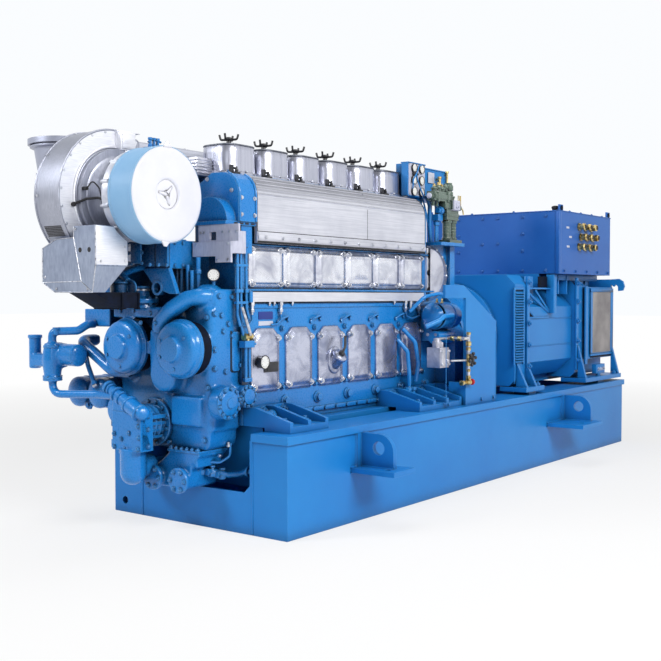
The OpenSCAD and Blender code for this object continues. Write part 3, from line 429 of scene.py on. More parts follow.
bolted("sump_bolts", joint, 12)
small = [(x + 0.120, side * (block_hi.y + 0.012), z, outward[side]) for x in cylinder for z in (0.75, 1.08)
    for side in (-1, 1)]
bolted("drain_plugs", small, 12)

# Leak-off pipes: thin steel tubes, painted, that hop from door to door below the ledge.
leak = bmesh.new()
for k, x in enumerate(cylinder):
    a, b = x + 0.085, x + 0.175
    piped(leak, [(a, -0.272, 1.115), (a + 0.012, -0.296, 1.135), (b - 0.02, -0.296, 1.152), (b, -0.272, 1.128)], 0.02,
        0.006, 8)
    turned(leak, (a, -0.270, 1.115), NEAR, mm((0, 12), (12, 12), (14, 9)), 6)
    turned(leak, (b, -0.270, 1.128), NEAR, mm((0, 12), (12, 12), (14, 9)), 6)
finished("leak_off_pipes", leak)

# ---------------------------------------------------------------- feet
# Welded feet under the block, held by heavy bolts through their soles.
wear("engine_feet", plate_enamel)
sole = 0.574
foot_bolts = []
for side in (-1, 1):
    for x in (-2.115, -1.945):
        foot_bolts.append((x, side * 0.50, sole, UP))
    for x in (-0.83, -0.66, -0.495):
        foot_bolts.append((x, side * 0.53, sole, UP))
    foot_bolts.append((-0.31, side * 0.445, sole, UP))
    for x in (-2.155, -2.065, -1.975, -1.885):
        foot_bolts.append((x, side * (block_hi.y + 0.030), 0.630, outward[side]))
    for x in (-0.88, -0.78, -0.70, -0.61, -0.53, -0.44):
        foot_bolts.append((x, side * (block_hi.y + 0.030), 0.630, outward[side]))
bolted("foot_bolts", foot_bolts, 27, stud=0.55)

# ---------------------------------------------------------------- crankcase doors
# Die-smooth cast aluminium doors, left bare: eight-sided, with a soft crowned
# middle and a bolt in each corner. The near third door carries the oil filler.


def cast_metal(name, dark, pale, rough, grain, depth, edge, metal=0.85):
    """Bare cast or pressed metal: cloudy oxide over a fine skin, brighter on rubbed corners."""
    made, tree, shader, place = blank_finish(name, Metallic=metal)
    cloud = add(tree, "ShaderNodeTexNoise", {"Vector": place, "Scale": 7.0, "Detail": 6.0, "Roughness": 0.62,
        "Distortion": 0.6})
    skin = add(tree, "ShaderNodeTexNoise", {"Vector": place, "Scale": 1 / grain, "Detail": 2.0})
    tree.links.new(blend_of(tree, cloud.outputs["Fac"], [(0.30, dark), (0.60, pale)]), shader.inputs["Base Color"])
    tree.links.new(spread(tree, cloud.outputs["Fac"], (0.3, 0.7), rough + 0.08, rough - 0.05),
        shader.inputs["Roughness"])
    relief(tree, shader, skin.outputs["Fac"], depth, 0.35, edge)
    return made


cast_silver = cast_metal("cast_aluminium", "#a4a7ba", "#eceef6", 0.27, 0.004, 0.0010, 0.004)
# a darker copy of the cast aluminium for the doors: painted dark reflection of the room in their upright faces
shaded_door_silver = cast_metal("cast_aluminium_painted_dark_reflection", "#7f86a0", "#c9cde0", 0.24, 0.004, 0.0010, 0.004)


def inset(outline, by):
    """An outline of (u, v) points drawn in evenly from every side."""
    reach_u, reach_v = max(abs(u) for u, v in outline), max(abs(v) for u, v in outline)
    return [(u * (1 - by / reach_u), v * (1 - by / reach_v)) for u, v in outline]


def round_outline(w, h, r, cuts=5):
    """A rectangle with round corners, anticlockwise about the middle."""
    points = []
    for cx, cy, start in ((1, 1, 0), (-1, 1, 90), (-1, -1, 180), (1, -1, 270)):
        for k in range(cuts + 1):
            a = math.radians(start + 90 * k / cuts)
            points.append((cx * (w / 2 - r) + r * math.cos(a), cy * (h / 2 - r) + r * math.sin(a)))
    return points


def raised(shape, outline, steps, origin, across=(1, 0, 0), upward=(0, 0, 1)):
    """A cover built up from its outline: each step is (how far in, how high)."""
    across, upward, origin = Vector(across), Vector(upward), Vector(origin)
    out = across.cross(upward)
    last = None
    for inward, rise in steps:
        ring = [shape.verts.new(origin + across * u + upward * v + out * rise) for u, v in inset(outline, inward)]
        if last:
            walls(shape, last, ring)
        else:
            shape.faces.new(list(reversed(ring)))
        last = ring
    shape.faces.new(last)


door_lo, door_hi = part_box("crankcase_covers")
door_z = (door_lo.z + door_hi.z) / 2
door_x = [x - 0.030 for x in cylinder]
door_outline = [(-0.108, -0.175), (0.108, -0.175), (0.118, -0.163), (0.118, 0.122), (0.110, 0.136), (0.074, 0.170),
    (0.064, 0.175), (-0.064, 0.175), (-0.074, 0.170), (-0.110, 0.136), (-0.118, 0.122), (-0.118, -0.163)]
doors = bmesh.new()
for side in (-1, 1):
    for x in door_x:
        raised(doors, door_outline, mm((0, 0), (0, 11), (2, 13.5), (13, 15), (17, 16.5), (30, 24.5), (37, 27.5),
            (50, 29.5), (68, 30.5), (85, 30.8)), (x, side * block_hi.y, door_z), (-side, 0, 0), (0, 0, 1))
        for u, v in ((-0.100, -0.148), (0.100, -0.148), (-0.104, 0.118), (0.104, 0.118)):
            turned(doors, (x - side * u, side * (block_hi.y + 0.002), door_z + v), outward[side],
                mm((0, 24), (12, 23), (15, 20), (15, 18)), 20)
door_piece = finished("crankcase_doors", doors, shaded_door_silver, sharp=50)
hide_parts("crankcase_covers")
corners = [(x - side * u, side * (block_hi.y + 0.017), door_z + v, outward[side]) for side in (-1, 1) for x in door_x
    for u, v in ((-0.100, -0.148), (0.100, -0.148), (-0.104, 0.118), (0.104, 0.118))]
bolted("door_bolts", corners, 17, zinc, washer=1.3, stud=0.4)

# Oil filler on the third door: a cast stub with a screw cap and a black lever.
filler = bmesh.new()
spout = Vector((door_x[2] + 0.01, -0.3006, 0.880))
raised(filler, round_outline(0.120, 0.165, 0.058), mm((0, -4), (0, 4), (4, 8), (12, 9)), spout)
lean = Vector((0, -0.72, 0.69)).normalized()
turned(filler, spout + Vector((0, 0.012, -0.025)), lean, mm((0, 42), (60, 40), (64, 46), (82, 46), (88, 40)), 28)
finished("filler_stub", filler, shaded_door_silver, sharp=50)
# Black phenolic moulding: levers, star grips, dial backs. Smooth with a low sheen.
phenolic = mottled("black_phenolic_moulding", 40.0, 4.0, [(0.3, "#17171b"), (0.7, "#2b2b31")], (0.25, 0.5), IOR=1.55)
lever = bmesh.new()
root = spout + Vector((0, 0.012, -0.025)) + lean * 0.090
turned(lever, root, lean, mm((0, 20), (14, 18), (18, 12)), 16)
piped(lever, [root + lean * 0.012, root + lean * 0.018 + Vector((0.020, 0, 0.03)),
    root + Vector((0.045, 0.004, 0.105))], 0.02, 0.0085)
finished("filler_lever", lever, phenolic)

# Dial gauge and its dark bracket plate on the first door.
dial_face = mottled("printed_dial_card", 260.0, 1.0, [(0.30, "#b9bac0"), (0.42, "#f2f2ee")], Roughness=0.35)


def dial(case, card, centre, facing, radius, deep=0.03):
    """A round gauge: case with a rolled rim, and a white card set back in it."""
    out = Vector(facing).normalized()
    turned(case, Vector(centre), out, [(0, radius * 0.9), (deep * 0.8, radius * 0.92), (deep, radius),
        (deep, radius * 1.02), (deep + 0.004, radius), (deep + 0.004, radius * 0.91), (deep - 0.002, radius * 0.88)],
        28)
    turned(card, Vector(centre) + out * (deep - 0.0018), out, [(0, radius * 0.90), (0.0030, radius * 0.89)], 28)
    side, up = square_to(out)[1:]
    for k in range(9):
        a = math.radians(-130 + 32.5 * k)
        mid = Vector(centre) + out * (deep + 0.0008) + (side * math.sin(a) + up * math.cos(a)) * radius * 0.68
        boxed(case, mid - Vector((radius * 0.04,) * 3), mid + Vector((radius * 0.04,) * 3))


cases, cards = bmesh.new(), bmesh.new()
dial(cases, cards, (door_x[0] - 0.068, -0.302, 0.902), NEAR, 0.038, 0.034)
holder = bmesh.new()
boxed(holder, (door_x[0] - 0.035, -0.306, 0.842), (door_x[0] + 0.082, -0.300, 0.898))
boxed(holder, (door_x[0] - 0.015, -0.310, 0.852), (door_x[0] + 0.060, -0.306, 0.888))
finished("gauge_bracket", holder, phenolic, soften=0.0015)

# Name plate, left bare: a strip of blue enamelled tin over a pale one.
plate_tin = bmesh.new()
boxed(plate_tin, (-2.066, -0.2730, 1.134), (-1.945, -0.2700, 1.176))
boxed(plate_tin, (-2.066, -0.2732, 1.100), (-1.945, -0.2700, 1.124))

# ---------------------------------------------------------------- camshaft covers
# Six bare cast aluminium covers with a raised, crowned window and four bolts
# on ears; a blue moulding runs above them and a pale bare label rail below.
cam_lo, cam_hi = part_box("camshaft_covers")
cam_h = cam_hi.z - cam_lo.z
cam_z = (cam_lo.z + cam_hi.z) / 2
cam_x = [x + 0.032 for x in cylinder]
covers = bmesh.new()
for x in cam_x:
    raised(covers, round_outline(0.286, cam_h, 0.024), mm((0, 0), (0, 10), (2, 12), (16, 13), (22, 17), (27, 23.5),
        (34, 26), (41, 25.5), (47, 22.5), (60, 23.5), (85, 27.5)), (x, -0.222, cam_z))
    for u in (-0.122, 0.122):
        for v in (-0.094, 0.094):
            turned(covers, (x + u, -0.224, cam_z + v), NEAR, mm((0, 22), (14, 21), (17, 17)), 18)
cover_piece = finished("camshaft_cover_castings", covers, cast_silver, sharp=50)
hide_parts("camshaft_covers")
bolted("camshaft_cover_bolts", [(x + u, -0.241, cam_z + v, NEAR) for x in cam_x for u in (-0.122, 0.122)
    for v in (-0.094, 0.094)], 15, zinc, washer=1.3, stud=0.5)


def sheet_metal(name, dark, pale, rough, metal, stretch, line, depth, edge=0.002):
    """Rolled or brushed sheet: fine lines stretched along one axis over broad pale clouds."""
    made, tree, shader, place = blank_finish(name, Metallic=metal)
    cloud = add(tree, "ShaderNodeTexNoise", {"Vector": place, "Scale": 3.5, "Detail": 5.0, "Roughness": 0.6})
    along = add(tree, "ShaderNodeMapping", {"Vector": place, "Scale": stretch})
    lines = add(tree, "ShaderNodeTexNoise", {"Vector": along.outputs["Vector"], "Scale": 1 / line, "Detail": 2.0})
    both = add(tree, "ShaderNodeMath", {0: cloud.outputs["Fac"], 1: lines.outputs["Fac"], 2: 0.5},
        operation="MULTIPLY_ADD")
    tree.links.new(blend_of(tree, both.outputs[0], [(0.45, dark), (0.85, pale)]), shader.inputs["Base Color"])
    tree.links.new(spread(tree, lines.outputs["Fac"], (0.3, 0.7), rough - 0.06, rough + 0.08),
        shader.inputs["Roughness"])
    relief(tree, shader, lines.outputs["Fac"], depth, 0.3, edge)
    return made


# Anodised aluminium sheet, drawn lengthwise: satin near-white with faint long lines.
anodised = sheet_metal("anodised_aluminium", "#c0c2cd", "#e8e9f0", 0.36, 0.5, (0.02, 1.0, 1.0), 0.004, 0.0003)
wear("cover_rail", anodised)
rail_lo, strip_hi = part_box("cover_rail")
clips = bmesh.new()
for x0 in (rail_lo.x - 0.022, strip_hi.x):
    boxed(clips, (x0, rail_lo.y - 0.004, rail_lo.z - 0.004), (x0 + 0.022, strip_hi.y, strip_hi.z + 0.004))
boxed(clips, (block_lo.x + 0.01, -0.268, strip_hi.z + 0.004), (block_hi.x - 0.01, -0.222, strip_hi.z + 0.016))
boxed(clips, (block_lo.x + 0.01, -0.246, cam_hi.z + 0.001), (block_hi.x - 0.01, -0.222, cam_hi.z + 0.010))
finished("rail_mouldings", clips, soften=0.003)
fittings = bmesh.new()
for x in (rail_lo.x + 0.012, rail_lo.x + 0.255, strip_hi.x - 0.21, strip_hi.x - 0.045, strip_hi.x - 0.15):
    turned(fittings, (x, -0.286, rail_lo.z), DOWN, mm((0, 16), (20, 16), (21, 11), (40, 11), (41, 15), (56, 15),
        (58, 8), (70, 7)), 6)
for x in (rail_lo.x + 0.16, rail_lo.x + 0.20, rail_lo.x + 0.36, strip_hi.x - 0.34):
    turned(fittings, (x, -0.284, rail_lo.z), DOWN, mm((0, 10), (12, 10), (14, 6), (22, 5)), 6)
finished("fuel_unions", fittings, zinc)
fuel_lines = bmesh.new()
for x in (rail_lo.x + 0.255, rail_lo.x + 0.012):
    piped(fuel_lines, [(x, -0.286, rail_lo.z - 0.068), (x, -0.288, rail_lo.z - 0.10),
        (x - 0.03, -0.284, rail_lo.z - 0.125), (x - 0.075, -0.276, rail_lo.z - 0.128)], 0.02, 0.0055, 8)
for x in (strip_hi.x - 0.21, strip_hi.x - 0.045):
    piped(fuel_lines, [(x, -0.286, rail_lo.z - 0.068), (x + 0.006, -0.292, rail_lo.z - 0.10),
        (x + 0.06, -0.300, rail_lo.z - 0.118), (x + 0.15, -0.300, rail_lo.z - 0.10)], 0.02, 0.0065, 8)
finished("fuel_pipes", fuel_lines)

# ---------------------------------------------------------------- hot box
# A pressed aluminium panel closes the injection side. Its shoulder has long
# swages; a clip strip with screws holds its lower edge over a black seal.
panel_lo, panel_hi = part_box("hot_box_panel")
pressed = sheet_metal("satin_aluminium_sheet", "#b3b6c3", "#e0e1ea", 0.38, 0.7, (0.02, 1.0, 1.0), 0.005, 0.0004)
tree = pressed.node_tree
sheen = next(n for n in tree.nodes if n.type == "BSDF_PRINCIPLED")
unshaded = sheen.inputs["Base Color"].links[0].from_socket
# painted reflection: upward-facing parts of the sheet are greyed, as if mirroring a darker room above
facing_up = add(tree, "ShaderNodeSeparateXYZ", {"Vector": add(tree, "ShaderNodeNewGeometry").outputs["Normal"]})
top_shade = spread(tree, facing_up.outputs["Z"], (0.08, 0.95), 0.0, 0.85)
tree.links.new(mixed(tree, top_shade, unshaded, linear("#5d5f6b")), sheen.inputs["Base Color"])
wear("hot_box_panel", pressed)
wear("hot_box_end_caps", cast_enamel)
# black rubber for seals and cables; the same black serves as painted shade in slots, holes and openings
rubber_and_hole_shade = mottled("black_rubber_and_painted_hole_shade", 180.0, 3.0, [(0.3, "#101013"), (0.7, "#232328")], (0.5, 0.75), IOR=1.5)


shoulder_z, shoulder_in = 1.803, -0.170     # where the flat side ends, and where the shoulder ends
panel_joint = -1.046                        # between the two lengths of sheet


def shoulder_at(degrees, proud):
    """A point (y, z) on the panel's round shoulder."""
    a = math.radians(degrees)
    y = panel_lo.y + (shoulder_in - panel_lo.y) * (1 - math.cos(a))
    z = shoulder_z + (panel_hi.z - shoulder_z) * math.sin(a)
    n = Vector((0, -math.cos(a), math.sin(a)))
    return Vector((0, y, z)) + n * proud


swages = bmesh.new()
for degrees in (8, 22, 36, 50, 64):
    mid = shoulder_at(degrees, 0.0002)
    for x0, x1 in ((panel_lo.x + 0.012, panel_joint - 0.006), (panel_joint + 0.006, panel_hi.x - 0.012)):
        swept(swages, [mid + Vector((x0, 0, 0)), mid + Vector((x1, 0, 0))], 0.0042, 8)
finished("shoulder_swages", swages, pressed)
slope = bmesh.new()
strip_top = panel_lo.z + 0.062
boxed(slope, (panel_lo.x + 0.004, panel_lo.y - 0.006, panel_lo.z + 0.014),
    (panel_hi.x - 0.004, panel_lo.y, strip_top))
boxed(slope, (panel_lo.x + 0.004, panel_lo.y - 0.011, panel_lo.z + 0.020),
    (panel_hi.x - 0.004, panel_lo.y - 0.006, panel_lo.z + 0.044))
boxed(slope, (panel_lo.x + 0.004, -0.172, panel_hi.z - 0.003), (panel_hi.x - 0.004, -0.128, panel_hi.z + 0.003))
finished("clip_strip", slope, pressed, soften=0.002)
seal = bmesh.new()
boxed(seal, (panel_lo.x + 0.002, panel_lo.y - 0.004, panel_lo.z), (panel_hi.x - 0.002, panel_lo.y + 0.004,
    panel_lo.z + 0.012))
boxed(seal, (panel_lo.x + 0.004, panel_lo.y - 0.0012, strip_top + 0.001),
    (panel_hi.x - 0.004, panel_lo.y, strip_top + 0.004))
boxed(seal, (panel_joint - 0.001, panel_lo.y - 0.0010, strip_top), (panel_joint + 0.001, panel_lo.y + 0.001,
    shoulder_z))
for x in (panel_lo.x + 0.0015, panel_hi.x - 0.0015):
    boxed(seal, (x - 0.002, panel_lo.y - 0.0012, strip_top), (x + 0.002, panel_lo.y + 0.001, shoulder_z))
    for degrees in range(0, 72, 8):
        p, q = shoulder_at(degrees, 0.0005), shoulder_at(degrees + 8, 0.0005)
        swept(seal, [p + Vector((x, 0, 0)), q + Vector((x, 0, 0))], 0.0022, 6)
finished("panel_seals", seal, rubber_and_hole_shade)
bolted("clip_screws", [(panel_lo.x + 0.06 + 0.147 * k, panel_lo.y - 0.011, panel_lo.z + 0.032, NEAR)
    for k in range(12)], 11, zinc, stud=0.3)
# The end cap's rolled rim, its slotted foot plate and the screws round it.
rim = bmesh.new()
cap_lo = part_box("hot_box_end_caps")[0]
for x in (panel_lo.x - 0.010, panel_lo.x - 0.140):
    edge_path = [Vector((x, panel_lo.y - 0.001, 1.665)), Vector((x, panel_lo.y - 0.001, shoulder_z))]
    edge_path += [shoulder_at(a, 0.001) + Vector((x, 0, 0)) for a in range(8, 76, 8)]
    swept(rim, edge_path, 0.007, 8)
finished("end_cap_rims", rim)
# the foot plate's slots are black boxes: painted shade in them
slots = bmesh.new()
for k in range(4):
    x = panel_lo.x - 0.175 + 0.045 * k
    boxed(slots, (x, cap_lo.y + 0.006, 1.649), (x + 0.026, cap_lo.y + 0.0105, 1.656))
finished("end_cap_slots", slots, rubber_and_hole_shade)
bolted("end_cap_screws", [(panel_lo.x - 0.022 - 0.106 * k, -0.289, z, NEAR) for k in range(2) for z in (1.70, 1.79)]
    + [(panel_lo.x - 0.151, y, z, BACK) for y, z in ((-0.06, 1.90), (-0.02, 1.72), (-0.24, 1.83))], 11, zinc)

# ---------------------------------------------------------------- heads and rocker covers
# Cast iron heads in blue enamel. Each rocker cover is a thin satin aluminium
# casting with full round corners, a stepped lid and a black star grip.
wear("cylinder_heads", cast_enamel)
head_lo, head_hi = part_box("cylinder_heads")
mid_y = (head_lo.y + head_hi.y) / 2
rocker_x = [x - 0.005 for x in cylinder]
satin_cast = cast_metal("satin_cast_aluminium", "#9b9dac", "#d9dae4", 0.36, 0.003, 0.0006, 0.006)
# Linished upright: fine upright streaks of 3 mm; the lid is left as cast, dull and dark.
brushed_cast = sheet_metal("linished_aluminium", "#a6a9b9", "#c6c8d6", 0.30, 0.9, (1.0, 1.0, 0.03), 0.014, 0.0003)
lid_grey = cast_metal("dull_cast_lid", "#4d5058", "#7b7f8a", 0.45, 0.003, 0.0008, 0.003)
lids = bmesh.new()
for x in rocker_x:
    raised(lids, round_outline(0.264, 0.282, 0.088, 8), mm((0, 0), (0, 12), (3, 15), (7, 17), (9, 24), (9, 70),
        (10, 120), (12, 156), (15, 160)), (x, mid_y, head_hi.z), NEAR, AHEAD)
lid_piece = finished("rocker_cover_castings", lids, brushed_cast, sharp=45)
tops = bmesh.new()
for x in rocker_x:
    raised(tops, round_outline(0.244, 0.262, 0.080, 8), mm((4, 0), (0, 1), (0, 6), (3, 8), (20, 12), (45, 17),
        (75, 21.5)), (x, mid_y, head_hi.z + 0.160), NEAR, AHEAD)
finished("rocker_cover_lids", tops, lid_grey, sharp=45)
ribs = bmesh.new()
vent_lo, vent_hi = Vector((cylinder[0] - 0.262, 0.010, 1.928)), Vector((cylinder[0] - 0.142, 0.130, 2.028))
boxed(ribs, vent_lo, vent_hi)
for k in range(5):
    z = vent_lo.z + 0.012 + 0.018 * k
    boxed(ribs, (vent_lo.x - 0.003, vent_lo.y - 0.003, z), (vent_hi.x + 0.003, vent_hi.y + 0.003, z + 0.008))
finished("breather_box", ribs, satin_cast, soften=0.002)
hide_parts("rocker_covers")
grips = bmesh.new()
for x in rocker_x:
    top = Vector((x, mid_y, head_hi.z + 0.180))
    turned(grips, top, UP, mm((0, 26), (4, 26), (6, 14), (20, 13), (22, 22), (28, 27), (36, 26), (41, 16)), 24)
    for k in range(4):
        a = math.radians(20 + 90 * k)
        way = Vector((math.cos(a), math.sin(a), 0))
        piped(grips, [top + Vector((0, 0, 0.026)) + way * 0.012, top + Vector((0, 0, 0.028)) + way * 0.050,
            top + Vector((0, 0, 0.056)) + way * 0.058], 0.012, 0.0065, 8)
grip_piece = finished("star_grips", grips, phenolic, sharp=50)
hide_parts("cover_handles")
bolted("head_bolts", [(x - 0.128, y, head_hi.z + 0.004, UP) for x in cylinder for y in (-0.105, 0.125)], 16)
flange_bolts = []
for x in rocker_x:
    for u, v in ((-0.126, 0), (0.126, 0), (0, -0.134), (0, 0.134)):
        flange_bolts.append((x + u * 0.985, mid_y + v * 0.985, head_hi.z + 0.013, UP))
bolted("rocker_cover_bolts", flange_bolts, 9, zinc)
# Black spring clamps where neighbouring covers meet the panel.
clamps = bmesh.new()
for x in [(a + b) / 2 for a, b in zip(rocker_x, rocker_x[1:])] + [rocker_x[0] - 0.12]:
    piped(clamps, [(x, -0.150, head_hi.z - 0.004), (x, -0.158, head_hi.z + 0.018), (x, -0.120, head_hi.z + 0.030)],
        0.01, 0.007, 8)
    boxed(clamps, (x - 0.022, -0.166, head_hi.z - 0.022), (x + 0.022, -0.1495, head_hi.z + 0.002))
    boxed(clamps, (x - 0.030, -0.148, head_hi.z + 0.001), (x - 0.012, -0.128, head_hi.z + 0.040))
    turned(clamps, (x + 0.018, -0.140, head_hi.z), UP, mm((0, 10), (20, 10), (22, 6), (34, 6)), 8)
finished("panel_clamps", clamps, phenolic)

# ---------------------------------------------------------------- exhaust duct
# The exhaust manifold hides in a box of rolled stainless sheet over mineral
# wool: panels with folded seams, pop rivets and clamping bands.
lagging = sheet_metal("stainless_lagging_sheet", "#7f8494", "#b4b7c4", 0.40, 0.75, (1.0, 1.0, 0.06), 0.004, 0.0004)
pale_lagging = sheet_metal("pale_lagging_sheet", "#cfd1dc", "#f2f3f9", 0.42, 0.55, (0.06, 1.0, 1.0), 0.004, 0.0004)
wear("exhaust_duct", lagging)
duct_lo, duct_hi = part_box("exhaust_duct")
folds = bmesh.new()
duct_seams = [duct_lo.x + 0.45 + 0.36 * k for k in range(5)]
for x in duct_seams:
    y0 = 0.152 if x > -2.1 else 0.150
    path = [(x, duct_hi.y + 0.001, duct_lo.z), (x, duct_hi.y + 0.001, duct_hi.z - 0.110)]
    path += [(x, duct_hi.y - 0.110 + 0.111 * math.cos(math.radians(a)), duct_hi.z - 0.110 + 0.111
        * math.sin(math.radians(a))) for a in range(15, 91, 15)]
    path += [(x, y0 + 0.108, duct_hi.z + 0.001)]
    swept(folds, path, 0.006, 8)
finished("duct_folds", folds, lagging)
rivets = []
for x in duct_seams:
    for off in (-0.018, 0.018):
        rivets += [(x + off, duct_hi.y, duct_lo.z + 0.03 + 0.05 * k, FAR) for k in range(5)]
        rivets += [(x + off, duct_hi.y - 0.125 - 0.05 * k, duct_hi.z, UP) for k in range(2)]
rivets += [(duct_lo.x + 0.30 + 0.06 * k, duct_hi.y, duct_lo.z + 0.016, FAR) for k in range(32)]
bolted("duct_rivets", rivets, 6, zinc, sides=8, low=0.35)

# ---------------------------------------------------------------- turbine insulation
# A drum of lagging round the turbine: a rolled rim band, a pale face with a
# stepped ring, a joint box on top and a small louvre low on the rim.
turbine_lo, turbine_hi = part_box("turbine_insulation")
axis_x, axis_z = turbine_lo.x + 0.357, (turbine_lo.z + turbine_hi.z) / 2
drum_near, drum_far, drum_r = 0.150, turbine_hi.y, 0.357    # its two faces and its radius
flat_at = math.degrees(math.acos(0.175 / drum_r))    # the duct is joined inside this angle


def spoke(degrees):
    """A direction across the machine's side: 0 degrees points to the engine, 90 up."""
    return Vector((math.cos(math.radians(degrees)), 0, math.sin(math.radians(degrees))))


def on_axis(y):
    """A point on the turbine's axis."""
    return Vector((axis_x, y, axis_z))


def arc(radius, y, first, last, cuts=72):
    """Points round the turbine's axis."""
    return [on_axis(y) + spoke(first + (last - first) * k / cuts) * radius for k in range(cuts + 1)]


def arc_band(shape, inner, outer, y0, y1, first, last, cuts=72):
    """A flat hoop of square section, open between its two ends."""
    rings = [[shape.verts.new(p) for p in arc(r, y, first, last, cuts)] for r, y in ((inner, y0), (outer, y0),
        (outer, y1), (inner, y1))]
    for a, b in zip(rings, rings[1:] + rings[:1]):
        for k in range(cuts):
            shape.faces.new((a[k], a[k + 1], b[k + 1], b[k]))
    for k in (0, -1):
        shape.faces.new([ring[k] for ring in rings])


wear("turbine_insulation", lagging)
hoops = bmesh.new()
open_from, open_to = flat_at + 1.5, 358.5 - flat_at
swept(hoops, arc(drum_r, drum_near + 0.002, open_from, open_to), 0.0055, 8)
swept(hoops, arc(drum_r, drum_far - 0.004, open_from, open_to), 0.0055, 8)
finished("drum_hoops", hoops, lagging, sharp=60)
dish = bmesh.new()
arc_band(dish, 0.262, drum_r - 0.006, drum_near - 0.0025, drum_near + 0.001, open_from + 1, open_to - 1)
swept(dish, arc(0.268, drum_near - 0.006, open_from + 12, open_to - 12), 0.007, 8)
finished("drum_face", dish, pale_lagging, sharp=60)
funnel = bmesh.new()
turned(funnel, on_axis(drum_near - 0.002), NEAR, mm((0, 256), (6, 257), (8, 250), (34, 224), (40, 214), (41, 200),
    (50, 170), (66, 150)), 64)
finished("turbine_funnel", funnel, lagging)
bolted("drum_screws", [(*(on_axis(drum_near - 0.0025) + spoke(a) * 0.345), NEAR) for a in range(70, 300, 15)]
    + [(*(on_axis(drum_near + 0.168) + spoke(a) * 0.3575), spoke(a)) for a in range(72, 290, 36)], 7, zinc,
    low=0.4)
joint_box = bmesh.new()
box_mid = axis_x + 0.055
boxed(joint_box, (box_mid - 0.048, 0.104, axis_z + 0.252), (box_mid + 0.052, 0.148, axis_z + 0.352))
boxed(joint_box, (box_mid - 0.040, 0.098, axis_z + 0.262), (box_mid + 0.044, 0.104, axis_z + 0.342))
boxed(joint_box, (box_mid - 0.052, 0.112, axis_z + 0.348), (box_mid + 0.090, 0.300, axis_z + 0.3545))
finished("lagging_joint_box", joint_box, pale_lagging, soften=0.004)
louvre = bmesh.new()
for k in range(7):
    mid = on_axis(drum_near + 0.03) + spoke(206 + 1.4 * k) * 0.356
    swept(louvre, [mid, mid + Vector((0, 0.13, 0))], 0.0042, 6)
finished("drum_louvre", louvre, phenolic)

# ---------------------------------------------------------------- turbocharger centre
# Cast aluminium gas casing between drum and silencer: a bellied body with
# cooling ribs, oil pipe bosses and a bolted rim; a black signal cable leaves it.


def ring_places(centre, radius, degrees, facing):
    """Places round a centre at these degrees, square to the way the bolts face."""
    across, upward = (FAR if facing.x else AHEAD), (FAR if facing.z else UP)
    return [(*(Vector(centre) + across * (radius * math.cos(a)) + upward * (radius * math.sin(a))), facing)
            for a in map(math.radians, degrees)]


core = bmesh.new()
profile = [(0, 0.205), (0.004, 0.228), (0.010, 0.232), (0.050, 0.232), (0.056, 0.224), (0.062, 0.196)]
for k in range(4):
    at, r = 0.066 + 0.016 * k, 0.194 - 0.0125 * k
    profile += [(at, r - 0.010), (at + 0.002, r), (at + 0.007, r - 0.001), (at + 0.010, r - 0.013)]
profile += [(0.134, 0.140), (0.140, 0.128), (0.182, 0.126)]
turned(core, on_axis(-0.070), FAR, profile, 72)
for a in range(15, 375, 30):
    turned(core, on_axis(-0.058) + spoke(a) * 0.230, FAR, mm((-6, 9), (40, 9)), 12)
for a, r in ((64, 0.030), (106, 0.024), (248, 0.028)):
    turned(core, on_axis(0.045) + spoke(a) * 0.13, spoke(a), [(0, r), (0.060, r), (0.062, r + 0.010),
        (0.072, r + 0.010)], 18)
silver_paint = cast_metal("silver_painted_casting", "#a9adbc", "#dfe1ea", 0.40, 0.003, 0.0006, 0.006, metal=0.25)
core_piece = finished("gas_casing", core, silver_paint, sharp=40)
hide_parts("turbo_centre_housing")
bolted("gas_casing_bolts", ring_places((axis_x, -0.018, axis_z), 0.230, range(15, 375, 30), FAR), 11, zinc)
signal = bmesh.new()
piped(signal, [(-2.99, 0.142, 1.722), (-2.955, 0.085, 1.748), (-2.925, 0.03, 1.752), (-2.900, -0.04, 1.722),
    (-2.872, -0.066, 1.690)], 0.05, 0.0065)
for p in ((-2.992, 0.146, 1.721), (-2.872, -0.062, 1.690)):
    turned(signal, p, NEAR, mm((-12, 12), (12, 12), (16, 8)), 12)
turned(signal, (-2.955, 0.092, 1.800), NEAR, mm((-35, 10), (10, 10)), 10)
piped(signal, [(-2.955, 0.082, 1.800), (-2.94, 0.06, 1.84), (-2.93, 0.02, 1.80), (-2.925, 0.01, 1.755)], 0.03, 0.004,
    8)
finished("signal_cable", signal, rubber_and_hole_shade)

# ---------------------------------------------------------------- air silencer
# The intake silencer: a drum of light blue sprayed sheet with a near-white
# cast front disc, dished in the middle round a plain three-armed boss.
silencer_blue = enamel("light_blue_sprayed_sheet", "#76a9d4", "#94bfe2", "#c2ddf2", 0.40, 0.005, 0.0006, 0.004)
silencer_white = enamel("white_enamel_on_casting", "#dcdeec", "#ecedf6", "#ffffff", 0.38, 0.006, 0.0010, 0.006)
near_y = -0.250            # plane of the disc's rim
shell = bmesh.new()
turned(shell, on_axis(near_y + 0.004), FAR, mm((30, 225), (1, 238), (4, 243), (18, 243), (19, 241.5), (150, 241.5),
    (152, 243.5), (166, 243.5), (172, 239), (176, 215)), 96)
shell_piece = finished("silencer_shell", shell, silencer_blue, sharp=40)
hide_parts("air_silencer")
front = bmesh.new()
turned(front, on_axis(near_y + 0.012), NEAR, mm((0, 237), (6, 238), (11, 233), (12, 222), (12.5, 90), (12, 84),
    (8, 78), (-2, 71), (-5, 62), (-3, 40), (0, 20), (0.5, 4)), 96)
for a in (50, 170, 290):
    arm = [on_axis(near_y + 0.016 + back) + spoke(a) * far for far, back in ((0.008, 0), (0.030, 0), (0.056, 0.005))]
    swept(front, arm, 0.010)
